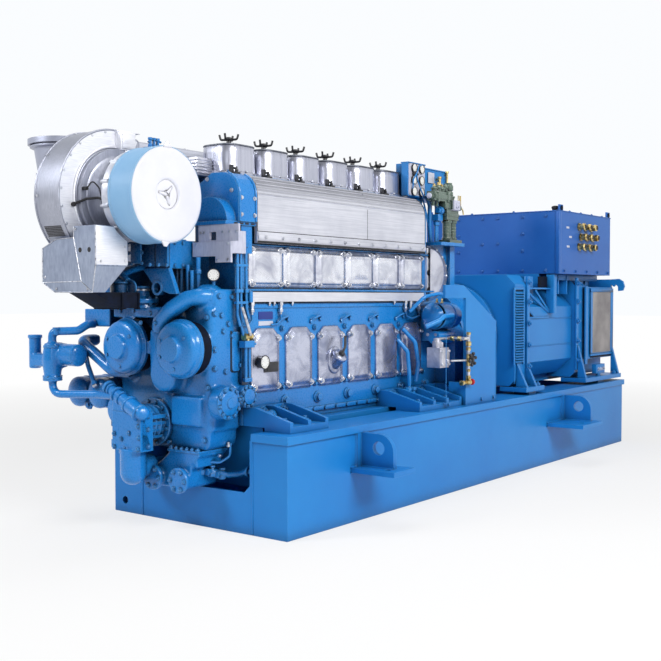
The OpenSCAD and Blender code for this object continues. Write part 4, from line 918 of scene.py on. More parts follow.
for a in range(0, 360, 60):
    turned(front, on_axis(near_y + 0.001) + spoke(a + 20) * 0.218, NEAR, mm((-3, 10), (0.5, 9)), 14)
finished("silencer_front", front, silencer_white, sharp=45)
lugs = bmesh.new()
for a, tall in ((90, 0.030), (266, 0.026)):
    way, across = spoke(a), spoke(a - 90)
    base = on_axis(near_y + 0.004) + way * 0.234
    raised(lugs, [(-0.030, 0.0), (0.030, 0.0), (0.008, tall), (-0.008, tall)], mm((0, -4), (0, 4)), base, across, way)
finished("silencer_lugs", lugs, silencer_white, soften=0.0015)
unions = bmesh.new()
for k in range(3):
    x = axis_x + 0.085 + 0.026 * k
    turned(unions, (x, -0.03, axis_z + 0.255), UP, mm((0, 12), (24, 12), (26, 9), (44, 9), (46, 12), (58, 12)), 12)
boxed(unions, (axis_x + 0.062, -0.06, axis_z + 0.216), (axis_x + 0.160, 0.0, axis_z + 0.262))
piped(unions, [(axis_x + 0.072, -0.03, axis_z + 0.288), (axis_x + 0.095, -0.03, axis_z + 0.306),
    (axis_x + 0.16, -0.03, axis_z + 0.296)], 0.01, 0.006, 8)
finished("oil_supply_unions", unions)

# ---------------------------------------------------------------- exhaust outlet
# A heat-stained steel elbow with a thick drilled flange, open at the top.
burnt, tree, shader, place = blank_finish("heat_stained_steel", Metallic=0.9)
heat = add(tree, "ShaderNodeTexNoise", {"Vector": place, "Scale": 9.0, "Detail": 6.0, "Roughness": 0.65})
high = add(tree, "ShaderNodeSeparateXYZ", {"Vector": place})
rise = spread(tree, high.outputs["Z"], (1.80, 2.07), 0.0, 1.0)
both = add(tree, "ShaderNodeMath", {0: heat.outputs["Fac"], 1: rise}, operation="ADD").outputs[0]
tree.links.new(blend_of(tree, both, [(0.35, "#2c2f38"), (0.80, "#4c505f"), (1.3, "#a9adbe")]),
    shader.inputs["Base Color"])
tree.links.new(spread(tree, heat.outputs["Fac"], (0.0, 1.0), 0.3, 0.55), shader.inputs["Roughness"])
relief(tree, shader, heat.outputs["Fac"], 0.002, 0.3, 0.004)
wear("exhaust_outlet", burnt)
out_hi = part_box("exhaust_outlet")[1]
out_y = out_hi.y - 0.195
trim = bmesh.new()
turned(trim, (axis_x, out_y, out_hi.z - 0.034), DOWN, mm((0, 172), (1, 184), (10, 184), (16, 168)), 48)
turned(trim, (axis_x, out_y, out_hi.z - 0.180), DOWN, mm((0, 146), (1, 152), (12, 152), (13, 144)), 48)
swept(trim, [(axis_x - 0.145, out_y - 0.02, out_hi.z - 0.050), (axis_x - 0.115, out_y - 0.02, axis_z + 0.06)], 0.006,
    8)
finished("outlet_rings", trim, burnt)
# black disc at the bore's floor, soot and painted shade, and black discs for the bolt holes: painted shade in the
# holes
dark_spots = bmesh.new()
turned(dark_spots, (axis_x, out_y, out_hi.z - 0.1085), UP, mm((0, 128.8), (1.2, 128.8)), 48)
for k in range(12):
    a = math.radians(15 + 30 * k)
    turned(dark_spots, (axis_x + 0.163 * math.cos(a), out_y + 0.163 * math.sin(a), out_hi.z), UP,
        mm((-6, 11), (0.6, 11)), 16)
finished("sooty_bore_and_shaded_bolt_holes", dark_spots, rubber_and_hole_shade)

# ---------------------------------------------------------------- heat shield
# Folded galvanised sheet in front of the turbine's feet, with two round openings,
# rolled bright folds and screws; the side to the camshaft is near-white.
galvanised = sheet_metal("galvanised_sheet", "#7c879f", "#a2acc0", 0.45, 0.65, (1.0, 1.0, 0.3), 0.012, 0.0005)
wear("heat_shield", galvanised)
shield_lo, shield_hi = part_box("heat_shield")
skin = bmesh.new()


def slab_between(shape, outline_a, outline_b):
    """A solid between two outlines that match point for point."""
    lower, upper = [[shape.verts.new(p) for p in outline] for outline in (outline_a, outline_b)]
    walls(shape, lower, upper)
    shape.faces.new(upper)
    shape.faces.new(list(reversed(lower)))


corner_x, corner_y, corner_z = shield_lo.x, shield_lo.y, axis_z
cut_back = [(axis_x - corner_x - 0.257 * math.cos(math.radians(a)), -0.257 * math.sin(math.radians(a)))
    for a in (40, 46, 52, 58, 64)]
side_line = [*cut_back, (0.203, -0.346), (0.197, -0.353), (0.001, -0.353), (0.001, -0.161)]
slab_between(skin, *[[(corner_x + u, corner_y - off, corner_z + v) for u, v in side_line]
    for off in (0.0035, 0.0005)])
finished("shield_side", skin, pale_lagging, soften=0.001)
edges = bmesh.new()
rim_line = [(0, -0.162), (0, -0.355), (0.025, -0.487), (0.314, -0.486), (0.411, -0.437), (0.411, -0.264),
    (0.303, -0.221), (0.164, -0.216), (0.164, -0.162)]
swept(edges, [(corner_x - 0.001, corner_y - 0.001 + u, corner_z + v) for u, v in rim_line], 0.0028, 6)
swept(edges, [(corner_x - 0.001, corner_y + u, corner_z + v) for u, v in ((0.164, -0.216), (0.108, -0.433),
    (0.025, -0.487))], 0.0026, 6)
swept(edges, [(corner_x - 0.001, corner_y + u, corner_z + v) for u, v in ((0.108, -0.433), (0.411, -0.437))], 0.0020,
    6)
swept(edges, [(corner_x, corner_y - 0.002, corner_z - 0.355), (corner_x + 0.199, corner_y - 0.002, corner_z - 0.355)],
    0.0025, 6)
finished("shield_folds", edges, zinc)
# the two round openings are black discs: painted shade in them
holes = bmesh.new()
for y in (0.048, -0.020):
    turned(holes, (corner_x + 0.001, y, corner_z - 0.279), BACK, mm((0, 12.5), (1.6, 12.5)), 24)
finished("shield_openings", holes, rubber_and_hole_shade)
bolted("shield_screws", [(corner_x - 0.0005, corner_y + y, corner_z + z, BACK)
    for y, z in ((0.15, -0.175), (0.39, -0.41), (0.30, -0.47), (0.06, -0.47))]
    + [(corner_x + u, corner_y - 0.004, corner_z + v, NEAR) for u, v in ((0.185, -0.26), (0.185, -0.33),
    (0.03, -0.335))], 7, zinc, low=0.4)

# ---------------------------------------------------------------- air cooler
# Cast iron cooler casing under the turbocharger: bolted end covers, a curved
# bracket with a ring, small pipes and drains, all in thick enamel.


def fused(name, nodes, extra, voxel, passes, keep):
    """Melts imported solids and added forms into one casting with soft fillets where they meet."""
    for node in nodes:
        extra.from_mesh(cad[node].data)
    bmesh.ops.remove_doubles(extra, verts=extra.verts, dist=1e-5)
    mesh = bpy.data.meshes.new(name)
    extra.to_mesh(mesh)
    extra.free()
    piece = bpy.data.objects.new(name, mesh)
    bpy.context.scene.collection.objects.link(piece)
    melt = piece.modifiers.new("melt", "REMESH")
    melt.mode, melt.voxel_size = "VOXEL", voxel
    rub = piece.modifiers.new("rub", "SMOOTH")
    rub.factor, rub.iterations = 0.5, passes
    thin = piece.modifiers.new("thin", "DECIMATE")
    thin.ratio = keep
    bpy.context.view_layer.update()
    result = bpy.data.meshes.new_from_object(piece.evaluated_get(bpy.context.evaluated_depsgraph_get()))
    piece.modifiers.clear()
    piece.data = result
    result.materials.clear()
    result.materials.append(cast_enamel)
    result.shade_smooth()
    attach(piece, "root")
    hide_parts(*nodes)


wear("air_cooler", cast_enamel)
cool_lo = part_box("air_cooler")[0]
cooler_x = cool_lo.x + 0.016          # face of the casing
casing = bmesh.new()
for y0, y1 in ((0.082, 0.183), (-0.020, 0.057)):
    boxed(casing, (cooler_x - 0.022, y0, 1.430), (cooler_x - 0.014, y1, 1.542))
for y in (0.20, 0.27, 0.34, 0.41):
    boxed(casing, (cooler_x - 0.012, y - 0.008, 1.420), (cooler_x, y + 0.008, 1.550))
boxed(casing, (cooler_x - 0.006, -0.028, 1.552), (cooler_x + 0.300, 0.438, 1.566))
finished("cooler_ribs", casing, soften=0.003)
cooler_bolts = [(cooler_x - 0.014, y, z, BACK) for y in (0.078, 0.187) for z in (1.432, 1.486, 1.540)]
cooler_bolts += [(cooler_x - 0.014, y, z, BACK) for y in (-0.022, 0.059) for z in (1.432, 1.486, 1.540)]
cooler_bolts += [(cooler_x + 0.03 + 0.06 * k, -0.030, z, NEAR) for k in range(5) for z in (1.425, 1.545)]
bolted("cooler_bolts", cooler_bolts, 10)
hoses = bmesh.new()
piped(hoses, [(cooler_x - 0.012, 0.214, 1.552), (cooler_x - 0.026, 0.213, 1.500), (cooler_x - 0.026, 0.185, 1.43),
    (cooler_x - 0.026, 0.110, 1.365), (cooler_x - 0.026, 0.075, 1.34)], 0.05, 0.017, 16)
turned(hoses, (cooler_x - 0.020, 0.053, 1.306), BACK, mm((0, 41), (4, 42), (6, 40), (7, 28.5), (3, 27.5)), 32)
piped(hoses, [(cooler_x - 0.01, 0.053, 1.265), (cooler_x - 0.01, 0.053, 1.212)], 0.01, 0.016, 14)
turned(hoses, (cooler_x - 0.01, 0.053, 1.196), UP, mm((0, 34), (12, 34), (14, 24), (30, 20)), 20)
for x, y, z1, r in ((-2.394, 0.022, 1.555, 0.012), (-2.394, -0.010, 1.50, 0.010), (-2.36, -0.102, 1.47, 0.0135)):
    swept(hoses, [(x, y, 1.196), (x, y, z1)], r, 14)
    turned(hoses, (x, y, 1.196), UP, [(0, r + 0.012), (0.010, r + 0.012), (0.012, r + 0.004), (0.030, r + 0.004)], 6)
    turned(hoses, (x, y, z1 - 0.09), UP, [(0, r), (0.002, r + 0.007), (0.022, r + 0.007), (0.024, r)], 6)
finished("cooler_pipes", hoses)
drum = bmesh.new()
turned(drum, (-2.700, 0.135, 1.262), UP, mm((0, 50), (6, 58), (14, 58), (18, 50), (62, 52), (66, 60), (74, 60),
    (78, 46), (90, 30)), 32)
piped(drum, [(-2.700, 0.135, 1.34), (-2.700, 0.135, 1.37), (-2.60, 0.16, 1.40), (-2.50, 0.17, 1.42)], 0.04, 0.018, 12)
finished("waste_drain_cup", drum)
cup_rim = bmesh.new()
turned(cup_rim, (-2.700, 0.135, 1.2605), UP, mm((0, 58.5), (3, 60.5), (5.5, 58.5)), 32)
finished("waste_cup_rim", cup_rim, zinc)

# ---------------------------------------------------------------- pump end casting
# One big casting in front of the block carries the gears, water passages and
# thermostats; the two pump volutes are cast on. Bolted covers close its sides.
front_x = -2.4195             # face of the casting
pump_ys, pump_z = (-0.120, 0.295), 0.985    # axes of the two pumps
necks = bmesh.new()
for y in pump_ys:
    turned(necks, (front_x + 0.01, y, pump_z), BACK, mm((0, 136), (30, 126), (80, 120), (88, 118)), 48)
turned(necks, (front_x + 0.01, 0.040, 0.850), BACK, mm((0, 104), (78, 96), (84, 90)))
turned(necks, (front_x + 0.01, 0.065, 0.930), BACK, mm((0, 85), (74, 75)), 32)
turned(necks, (front_x + 0.01, 0.350, 0.868), BACK, mm((0, 80), (62, 62)), 32)
turned(necks, (front_x + 0.055, -0.172, 1.290), (-0.35, -0.15, 1.0), mm((-80, 88), (0, 74), (22, 52), (30, 30)), 28)
fused("pump_end_casting", ["pump_housing", "water_pumps", "thermostat_housing"], necks, 0.0085, 5, 0.42)
pump_discs = bmesh.new()
for y in pump_ys:
    turned(pump_discs, (front_x - 0.076, y, pump_z), BACK, mm((0, 150), (1, 157), (20, 157), (23, 154), (23.5, 147.5),
        (30, 146.5), (44, 146), (56, 143.5), (66, 137), (73, 126), (76.5, 108), (77, 72), (79, 67), (100, 65.5),
        (104.5, 62), (105, 4)), 64)
finished("pump_covers", pump_discs, sharp=40)
# near-black that stands in for deep shade: painted shadow
shadow_black = mottled("painted_shadow_black", 20.0, 4.0, [(0.3, "#060a14"), (0.7, "#101a30")], (0.6, 0.85), Specular_IOR_Level=0.15)
# near-black collars behind the pump covers: painted shadow under the covers' overhang
collars = bmesh.new()
for y in pump_ys:
    turned(collars, (front_x - 0.003, y, pump_z), BACK, mm((0, 141), (4, 140.5), (68, 140.5), (73, 148.5),
        (74.5, 148.5)), 56)
finished("pump_collars", collars, shadow_black)
# Drip pan of folded plate under the heat shield, screwed to the cooler: it slopes up
# to the shield's lower edge, with a turned lip at each end. Its near-black is painted shadow.
pan = bmesh.new()
pan_low, pan_top, pan_end = cool_lo.z + 0.005, shield_lo.z + 0.0015, cool_lo.x + 0.006
pan_line = ((shield_lo.x + 0.0445, pan_top), (shield_hi.x + 0.0045, pan_low), (pan_end, pan_low), (pan_end, pan_top))
slab_between(pan, *[[(x, y, z) for x, z in pan_line] for y in (0.0, 0.2)])
for x in (shield_hi.x + 0.0125, cool_lo.x - 0.012):
    boxed(pan, (x, -0.010, pan_low - 0.006), (x + 0.010, 0.210, pan_low + 0.076))
finished("cooler_drip_pan", pan, shadow_black, soften=0.002)
rounds = bmesh.new()
# round inspection covers on the camshaft side of the casting
side_covers = (((-2.3645, -0.325, 0.700), 0.086), ((-2.1995, -0.310, 0.722), 0.062))
(cover_a, radius_a), (cover_b, radius_b) = side_covers
turned(rounds, cover_a, NEAR, [(-0.001, radius_a + 0.001), (0.001, radius_a + 0.002), (0.004, radius_a),
    (0.0045, 0.066), (0.009, 0.0655), (0.012, 0.062), (0.0125, 0.030), (0.022, 0.026), (0.024, 0.004)], 56)
turned(rounds, cover_b, NEAR, [(-0.001, radius_b + 0.001), (0.001, radius_b + 0.002), (0.005, radius_b),
    (0.006, 0.044), (0.016, 0.042), (0.018, 0.038), (0.019, 0.004)], 48)
finished("side_inspection_covers", rounds, sharp=40)
ring_bolts = [p for y in pump_ys for p in ring_places((front_x - 0.0775, y, pump_z), 0.1515, range(10, 370, 45),
    BACK)]
bolted("pump_ring_bolts", ring_bolts, 7)
bolted("pump_cover_bolts", [p for y in pump_ys for p in ring_places((front_x - 0.150, y, pump_z), 0.104,
    (25, 145, 265, 335), BACK)], 11)
bolted("side_cover_bolts", [p for c, r in side_covers for p in ring_places((c[0], c[1] - 0.0045, c[2]), r - 0.010,
    range(10, 370, 36), NEAR)], 12, stud=0.3)
# bolts, plugs and edge rows over the casting
casting_side = -0.250    # its wall on the camshaft side
scatter = [(x, casting_side, z, NEAR) for x, z in ((-2.357, 1.262), (-2.26, 1.258), (-2.287, 1.114), (-2.326, 1.075),
    (-2.26, 1.05), (-2.34, 1.16), (-2.31, 0.86), (-2.39, 1.17), (-2.39, 0.98), (-2.39, 0.88))]
scatter += [(front_x, y, z, BACK) for y, z in ((-0.222, 1.15), (-0.225, 0.78), (0.06, 0.47), (-0.20, 0.50),
    (0.405, 0.70), (0.33, 0.60), (0.405, 0.52))]
bolted("casting_bolts", scatter, 15)
bolted("casting_plugs", [(front_x - 0.08, y, z, BACK) for y, z in ((0.03, 1.16), (0.12, 1.17), (0.36, 1.18),
    (0.25, 1.185))] + [(front_x - 0.14, y, z, BACK) for y, z in ((0.02, 1.12), (0.13, 1.12))], 12, sides=6)
window = bmesh.new()
outline = round_outline(0.064, 0.215, 0.018)
raised(window, outline, mm((0, -1), (0, 8), (2, 10), (10, 10)), (-2.232, casting_side, 0.965))
finished("side_window_frame", window)
dark_gap = bmesh.new()
swept(dark_gap, [(-2.266, casting_side - 0.0005, 1.075), (-2.266, casting_side - 0.0005, 0.860)], 0.005, 6)
swept(dark_gap, [(-2.262, casting_side - 0.0005, 0.856), (-2.204, casting_side - 0.0005, 0.856)], 0.004, 6)
finished("side_window_shadow_gap", dark_gap, rubber_and_hole_shade)

# Thermostat neck and the thick water pipe that sweeps over the near pump.
neck_x = front_x - 0.070
water = bmesh.new()
turned(water, (neck_x, 0.190, 1.200), UP, mm((0, 72), (24, 66), (25, 84), (28, 86), (46, 86), (49, 84), (50, 52),
    (58, 44), (66, 36), (106, 34), (107, 40), (117, 40)))
path = smooth_run([(neck_x - 0.010, 0.048, 1.090), (neck_x - 0.028, 0.022, 1.130), (neck_x - 0.020, -0.048, 1.192),
    (neck_x + 0.018, -0.120, 1.246), (neck_x + 0.058, -0.182, 1.262), (neck_x + 0.105, -0.200, 1.262)], 0.07, 8)
swept(water, path, 0.043, 28)
finished("water_crossover", water)
bolted("thermostat_bolts", ring_places((neck_x, 0.190, 1.249), 0.071, range(20, 380, 60), UP)
    + ring_places((neck_x, 0.190, 1.225), 0.071, range(20, 380, 60), DOWN), 12, stud=0.4)
neck = bmesh.new()
turned(neck, (neck_x, 0.190, 1.290), UP, mm((0, 36.5), (2, 39), (9, 39), (11, 36.5)), 28)
finished("hose_clip", neck, zinc)

# ---------------------------------------------------------------- water manifold
wear("water_manifold", cast_enamel)
bolted("manifold_bolts", [p for x in cylinder for p in ring_places((x - 0.1305, 0.293, 1.375), 0.053,
    range(45, 405, 90), BACK)], 9)

# ---------------------------------------------------------------- oil pump
# Gear pump bolted to the casting: round flange, ribbed body, and a relief
# valve block whose slanting bonnet rises to the far side; elbow below.
oil_x, oil_y, oil_z = front_x, 0.168, 0.575
bonnet_way = Vector((0.040, 0.296, 0.122)).normalized()
bonnet = Vector((oil_x - 0.2205, 0.050, 0.645))
pump_body = bmesh.new()
turned(pump_body, bonnet, bonnet_way, mm((-20, 20), (20, 42), (110, 44), (120, 34), (230, 33), (240, 28), (320, 26)),
    28)
turned(pump_body, (oil_x - 0.180, oil_y + 0.075, oil_z + 0.075), BACK, mm((0, 72), (20, 70), (32, 58), (36, 30)), 32)
piped(pump_body, [(oil_x - 0.165, oil_y, oil_z - 0.10), (oil_x - 0.165, oil_y, oil_z - 0.185),
    (oil_x - 0.130, oil_y, oil_z - 0.232), (oil_x - 0.040, oil_y, oil_z - 0.232)], 0.07, 0.060, 28)
turned(pump_body, (oil_x - 0.120, oil_y, oil_z), AHEAD, mm((-30, 70), (0, 74), (100, 74), (115, 105)))
fused("oil_pump_casting", ["oil_pump"], pump_body, 0.0050, 3, 0.42)
oil_rounds = bmesh.new()
boxed(oil_rounds, (oil_x - 0.222, oil_y - 0.118, oil_z - 0.136), (oil_x - 0.132, oil_y + 0.102, oil_z + 0.072))
boxed(oil_rounds, (oil_x - 0.216, oil_y - 0.010, oil_z + 0.050), (oil_x - 0.150, oil_y + 0.100, oil_z + 0.108))
boxed(oil_rounds, (oil_x - 0.212, oil_y + 0.100, oil_z - 0.126), (oil_x - 0.165, oil_y + 0.122, oil_z - 0.086))
for k, (low, high) in enumerate(((0.030, 0.052), (-0.006, 0.014), (-0.042, -0.024), (-0.078, -0.062))):
    boxed(oil_rounds, (oil_x - 0.136, oil_y - 0.112 + 0.010 * k, oil_z + low),
        (oil_x - 0.026, oil_y + 0.060, oil_z + high))
turned(oil_rounds, (oil_x, oil_y, oil_z), BACK, mm((0, 133.5), (3, 134.5), (22, 134.5), (25.5, 131), (26, 95)), 56)
for along, r, tall in ((0.004, 0.048, 0.014), (0.098, 0.049, 0.018), (0.175, 0.041, 0.016), (0.225, 0.043, 0.014),
        (0.285, 0.034, 0.014), (0.310, 0.038, 0.018)):
    turned(oil_rounds, bonnet + bonnet_way * along, bonnet_way, [(0, r - 0.004), (0.002, r), (tall - 0.002, r),
        (tall, r - 0.004)], 28)
turned(oil_rounds, bonnet + Vector((0.004, -0.010, 0.004)), (-0.35, -0.90, 0.25),
    mm((0, 40), (12, 38), (20, 30), (24, 14)), 28)
turned(oil_rounds, (oil_x - 0.206, oil_y + 0.075, oil_z + 0.075), BACK, mm((0, 76), (6, 76), (8, 72)), 36)
for z in (-0.136, -0.152):
    turned(oil_rounds, (oil_x - 0.165, oil_y, oil_z + z + 0.010), DOWN, mm((0, 70), (2, 76), (10, 76), (12, 70)))
finished("oil_pump_rings", oil_rounds, sharp=40)
bolted("oil_flange_bolts", ring_places((oil_x - 0.0255, oil_y, oil_z), 0.115, range(15, 375, 30), BACK), 12)
bolted("relief_valve_bolts", [(oil_x - 0.222, oil_y + y, oil_z + z, BACK)
    for y, z in ((-0.10, -0.12), (-0.10, 0.00), (0.085, -0.12), (0.0, -0.125), (-0.105, -0.06), (0.085, -0.05),
    (-0.03, -0.04), (0.03, -0.075))] + [(oil_x - 0.168, oil_y - 0.118, oil_z + z, NEAR)
    for z in (-0.11, -0.02, 0.05)], 13, stud=0.3)

# ---------------------------------------------------------------- twin oil branch
# Two flanged stubs that leave one fan-shaped casting under the pump end.
fan = bmesh.new()
branch_x, branch_z = -2.4995, 0.283
for y in (0.118, -0.077):
    piped(fan, [(branch_x + 0.010, y, branch_z), (branch_x + 0.075, y, branch_z),
        (branch_x + 0.13, y * 0.75, branch_z + 0.03), (branch_x + 0.16, y * 0.6, branch_z + 0.13)], 0.05, 0.051, 24)
turned(fan, (-2.330, 0.00, 0.385), (-0.05, -0.95, -0.25), mm((0, 50), (120, 40), (140, 30)), 24)
boxed(fan, (-2.440, -0.165, 0.350), (-2.250, 0.035, 0.436))
fused("twin_branch_casting", ["twin_branch_pipe"], fan, 0.006, 5, 0.45)
blanks = bmesh.new()
for y in (0.118, -0.077):
    turned(blanks, (branch_x + 0.020, y, branch_z), BACK, mm((0, 66), (2, 68.5), (18, 68.5), (20.5, 66.5), (21, 4)),
        48)
boxed(blanks, (-2.455, -0.192, 0.428), (-2.235, 0.042, 0.441))
finished("branch_flanges", blanks, sharp=40)
bolted("branch_bolts", [p for y in (0.118, -0.077) for p in ring_places((branch_x, y, branch_z), 0.052,
    range(0, 360, 60), BACK)] + [(-2.444, -0.175 + 0.040 * k, 0.441, UP) for k in range(6)], 14, stud=0.35)
cluster = bmesh.new()
for k, (x, y, z) in enumerate(((-2.352, -0.110, 0.330), (-2.310, -0.150, 0.318), (-2.262, -0.178, 0.300))):
    turned(cluster, (x, y, z - 0.030), UP, mm((0, 20), (4, 24), (20, 24), (22, 15), (50, 14), (52, 22), (62, 22)), 6)
    turned(cluster, (x - 0.03, y, z), BACK, mm((-30, 15), (0, 15), (2, 21), (14, 21), (16, 10)), 6)
piped(cluster, [(-2.39, -0.06, 0.318), (-2.352, -0.12, 0.322), (-2.30, -0.16, 0.312), (-2.24, -0.20, 0.292),
    (-2.205, -0.26, 0.300), (-2.205, -0.31, 0.318)], 0.03, 0.017, 14)
piped(cluster, [(-2.41, -0.02, 0.385), (-2.36, -0.13, 0.372), (-2.30, -0.20, 0.368), (-2.26, -0.235, 0.400),
    (-2.255, -0.235, 0.470)], 0.03, 0.0075, 8)
swept(cluster, [(-2.35, -0.135, 0.385), (-2.33, -0.118, 0.318)], 0.0065, 8)
turned(cluster, (-2.205, -0.315, 0.318), NEAR, mm((0, 18), (2, 30), (14, 30), (16, 18), (30, 17)), 20)
finished("sump_drain_cluster", cluster)
loop = bmesh.new()
piped(loop, [(-2.205, -0.330, 0.430), (-2.205, -0.345, 0.385), (-2.205, -0.330, 0.330), (-2.20, -0.295, 0.318)], 0.03,
    0.008, 8)
finished("drain_handle", loop)
tips = bmesh.new()
turned(tips, (-2.27, -0.232, 0.452), UP, mm((0, 12), (12, 12), (14, 8), (24, 8)), 6)
turned(tips, (-2.31, -0.20, 0.405), NEAR, mm((0, 10), (12, 10), (13, 6), (20, 6)), 6)
finished("brass_union_tips", tips, zinc)

# ---------------------------------------------------------------- oil filter module
# Filter drums behind the pump end: spun steel ends on a cast bracket.
bowls = bmesh.new()
wear("oil_filter_module", cast_enamel)
filter_z = 0.715
for y in (0.538, 0.712):
    turned(bowls, (-2.496, y, filter_z), BACK, mm((0, 85.5), (6, 86.5), (20, 83), (30, 72), (38, 52), (43, 26),
        (44, 4)), 48)
    for x in (-2.44, -2.30):
        turned(bowls, (x, y, filter_z), BACK, mm((0, 85.5), (1, 89), (12, 89), (13, 85.5)), 48)
turned(bowls, (-2.496, 0.625, 0.640), BACK, mm((0, 24), (12, 24), (14, 14), (26, 14)), 6)
finished("filter_bowls", bowls)

# ---------------------------------------------------------------- mixing valve
# Three-way thermostatic valve: capped leg, bulged body, elbow to the casting,
# a thin return pipe from below and a drum actuator with a hand lever.
valve = bmesh.new()
valve_x = -2.6795
turned(valve, (valve_x, 0.725, 0.905), UP, mm((-90, 46), (-50, 52), (0, 57), (50, 50), (90, 44)), 32)
swept(valve, [(valve_x, 0.740, 0.900), (valve_x, 0.868, 0.900)], 0.036, 24)
fused("mixing_valve_casting", ["mixing_valve"], valve, 0.0065, 4, 0.45)
valve_rings = bmesh.new()
turned(valve_rings, (valve_x, 0.725, 0.788), UP, mm((0, 51), (2, 54), (10, 54), (10.5, 52), (13, 54), (21, 54),
    (24, 50)))
turned(valve_rings, (valve_x, 0.880, 1.024), UP, mm((0, 36), (2, 40), (16, 40), (19, 36), (20, 4)))
turned(valve_rings, (valve_x, 0.725, 0.972), UP, mm((0, 44), (2, 50), (14, 50), (17, 44)), 32)
turned(valve_rings, (-2.6295, 0.725, 0.929), FAR, mm((0, 70), (2, 72.5), (18, 72.5), (21, 66), (26, 50)))
turned(valve_rings, (-2.6295, 0.562, 0.933), NEAR, mm((-6, 62), (2, 61), (12, 50), (16, 20)))
turned(valve_rings, (valve_x, 0.691, 1.066), UP, mm((-20, 15), (12, 15), (14, 19), (22, 19)), 8)
finished("mixing_valve_rings", valve_rings, sharp=40)
bolted("mixing_valve_bolts", ring_places((-2.6295, 0.7285, 0.929), 0.062, range(0, 360, 45), NEAR)
    + ring_places((valve_x, 0.725, 0.812), 0.047, range(22, 382, 60), UP), 8)
hand = bmesh.new()
piped(hand, [(-2.575, 0.605, 0.950), (-2.550, 0.600, 0.945), (-2.545, 0.584, 0.874), (-2.545, 0.545, 0.800),
    (-2.545, 0.531, 0.775)], 0.04, 0.0135, 12)
turned(hand, (-2.545, 0.534, 0.785), (0, -0.45, -0.9), mm((0, 17), (2, 19), (20, 19), (22, 14)), 16)
finished("actuator_lever", hand)
tip = bmesh.new()
turned(tip, (-2.545, 0.524, 0.765), (0, -0.45, -0.9), mm((0, 16), (10, 16), (13, 10)), 16)
finished("lever_tip", tip, zinc)

# ---------------------------------------------------------------- pump end lines
# Small steel lines beside the near doors: two oil lines drop from the junction
# plates to a brass shut-off valve with a bright lever, and a dial stands above.
lines = bmesh.new()
for x, low in ((-2.249, 1.10), (-2.222, 1.05), (-2.180, 1.14)):
    piped(lines, [(x, -0.268, 1.60), (x, -0.282, 1.54), (x, -0.284, low + 0.06), (x + 0.012, -0.292, low)], 0.03,
        0.0085)
    for z in (1.545, 1.30):
        turned(lines, (x, -0.284, z), DOWN, mm((0, 8.5), (1, 15.5), (20, 15.5), (21, 8.5)), 6)
for x in (-2.198, -2.170):
    swept(lines, [(x, -0.296, 1.015), (x, -0.296, 0.815)], 0.0095)
    turned(lines, (x, -0.296, 0.822), DOWN, mm((0, 10), (1, 18), (22, 18), (23, 10)), 6)
boxed(lines, (-2.226, -0.318, 0.985), (-2.150, -0.272, 1.022))
boxed(lines, (-2.218, -0.272, 0.88), (-2.206, -0.250, 0.90))
turned(lines, (-2.150, -0.296, 1.003), AHEAD, mm((0, 12), (14, 12), (16, 8), (30, 8)), 8)
for z in (1.42, 1.22):
    boxed(lines, (-2.262, -0.292, z), (-2.170, -0.270, z + 0.014))
finished("side_oil_lines", lines)
brass = mottled("machined_brass", 45.0, 3.0, [(0.32, "#9a7a3a"), (0.62, "#e6d193")], (0.22, 0.4), Metallic=1.0)
shut = bmesh.new()
turned(shut, (-2.215, -0.296, 1.043), AHEAD, mm((0, 12), (1, 20), (16, 20), (17, 15), (30, 15.5), (44, 15.5),
    (45, 20), (60, 20), (61, 12)), 12)
turned(shut, (-2.184, -0.296, 1.022), UP, mm((0, 13), (36, 13)), 8)
finished("side_shut_off_valve", shut, brass)
arm = bmesh.new()
piped(arm, [(-2.184, -0.318, 1.052), (-2.196, -0.322, 1.075), (-2.252, -0.318, 1.205)], 0.02, 0.0085)
finished("shut_off_lever", arm, zinc)
dial(cases, cards, (-2.340, -0.196, 1.374), Vector((-0.75, -0.66, 0.05)), 0.033, 0.016)
stem = bmesh.new()
swept(stem, [(-2.333, -0.188, 1.30), (-2.333, -0.188, 1.345)], 0.010)
turned(stem, (-2.333, -0.188, 1.296), UP, mm((0, 18), (16, 18), (18, 12)), 6)
finished("dial_stem", stem)
# dark end body of the priming pump beside the second cover
stub = bmesh.new()
turned(stub, (-2.180, -0.352, 0.603), AHEAD, mm((0, 20), (2, 34), (112, 34), (116, 39), (132, 39), (134, 34),
    (137, 6)), 28)
boxed(stub, (-2.150, -0.350, 0.574), (-2.075, -0.300, 0.600))
finished("priming_pump", stub)

# ---------------------------------------------------------------- junction plates
# Two bare sheet plates in front of the block, slotted, with a row of screws.
plated = sheet_metal("zinc_plated_sheet", "#a9aec6", "#d3d5e6", 0.42, 0.12, (1.0, 1.0, 0.3), 0.012, 0.0004)
wear("junction_plates", plated)
junction_x = -2.3295
bolted("junction_screws", [(junction_x, y, 1.602, BACK) for y in (-0.350, -0.300, -0.250, -0.115, -0.092)]
    + [(junction_x - 0.012, y, 1.540, BACK) for y in (-0.30, -0.07)] + [(junction_x - 0.012, -0.30, 1.455, BACK),
    (junction_x - 0.012, -0.225, 1.455, BACK)], 6, zinc, washer=1.5)

# ---------------------------------------------------------------- gear train cover
# Spun and polished aluminium dish at the driving end, held by a bolted ring.
dish_x, dish_z = -0.2475, 1.422


def half_oval(shape, wide, tall, y, cuts=28):
    """Half an oval in a plane across the machine, from its top round to its bottom."""
    return [shape.verts.new((dish_x + wide * math.sin(math.pi * k / cuts), y,
        dish_z + tall * math.cos(math.pi * k / cuts))) for k in range(cuts + 1)]


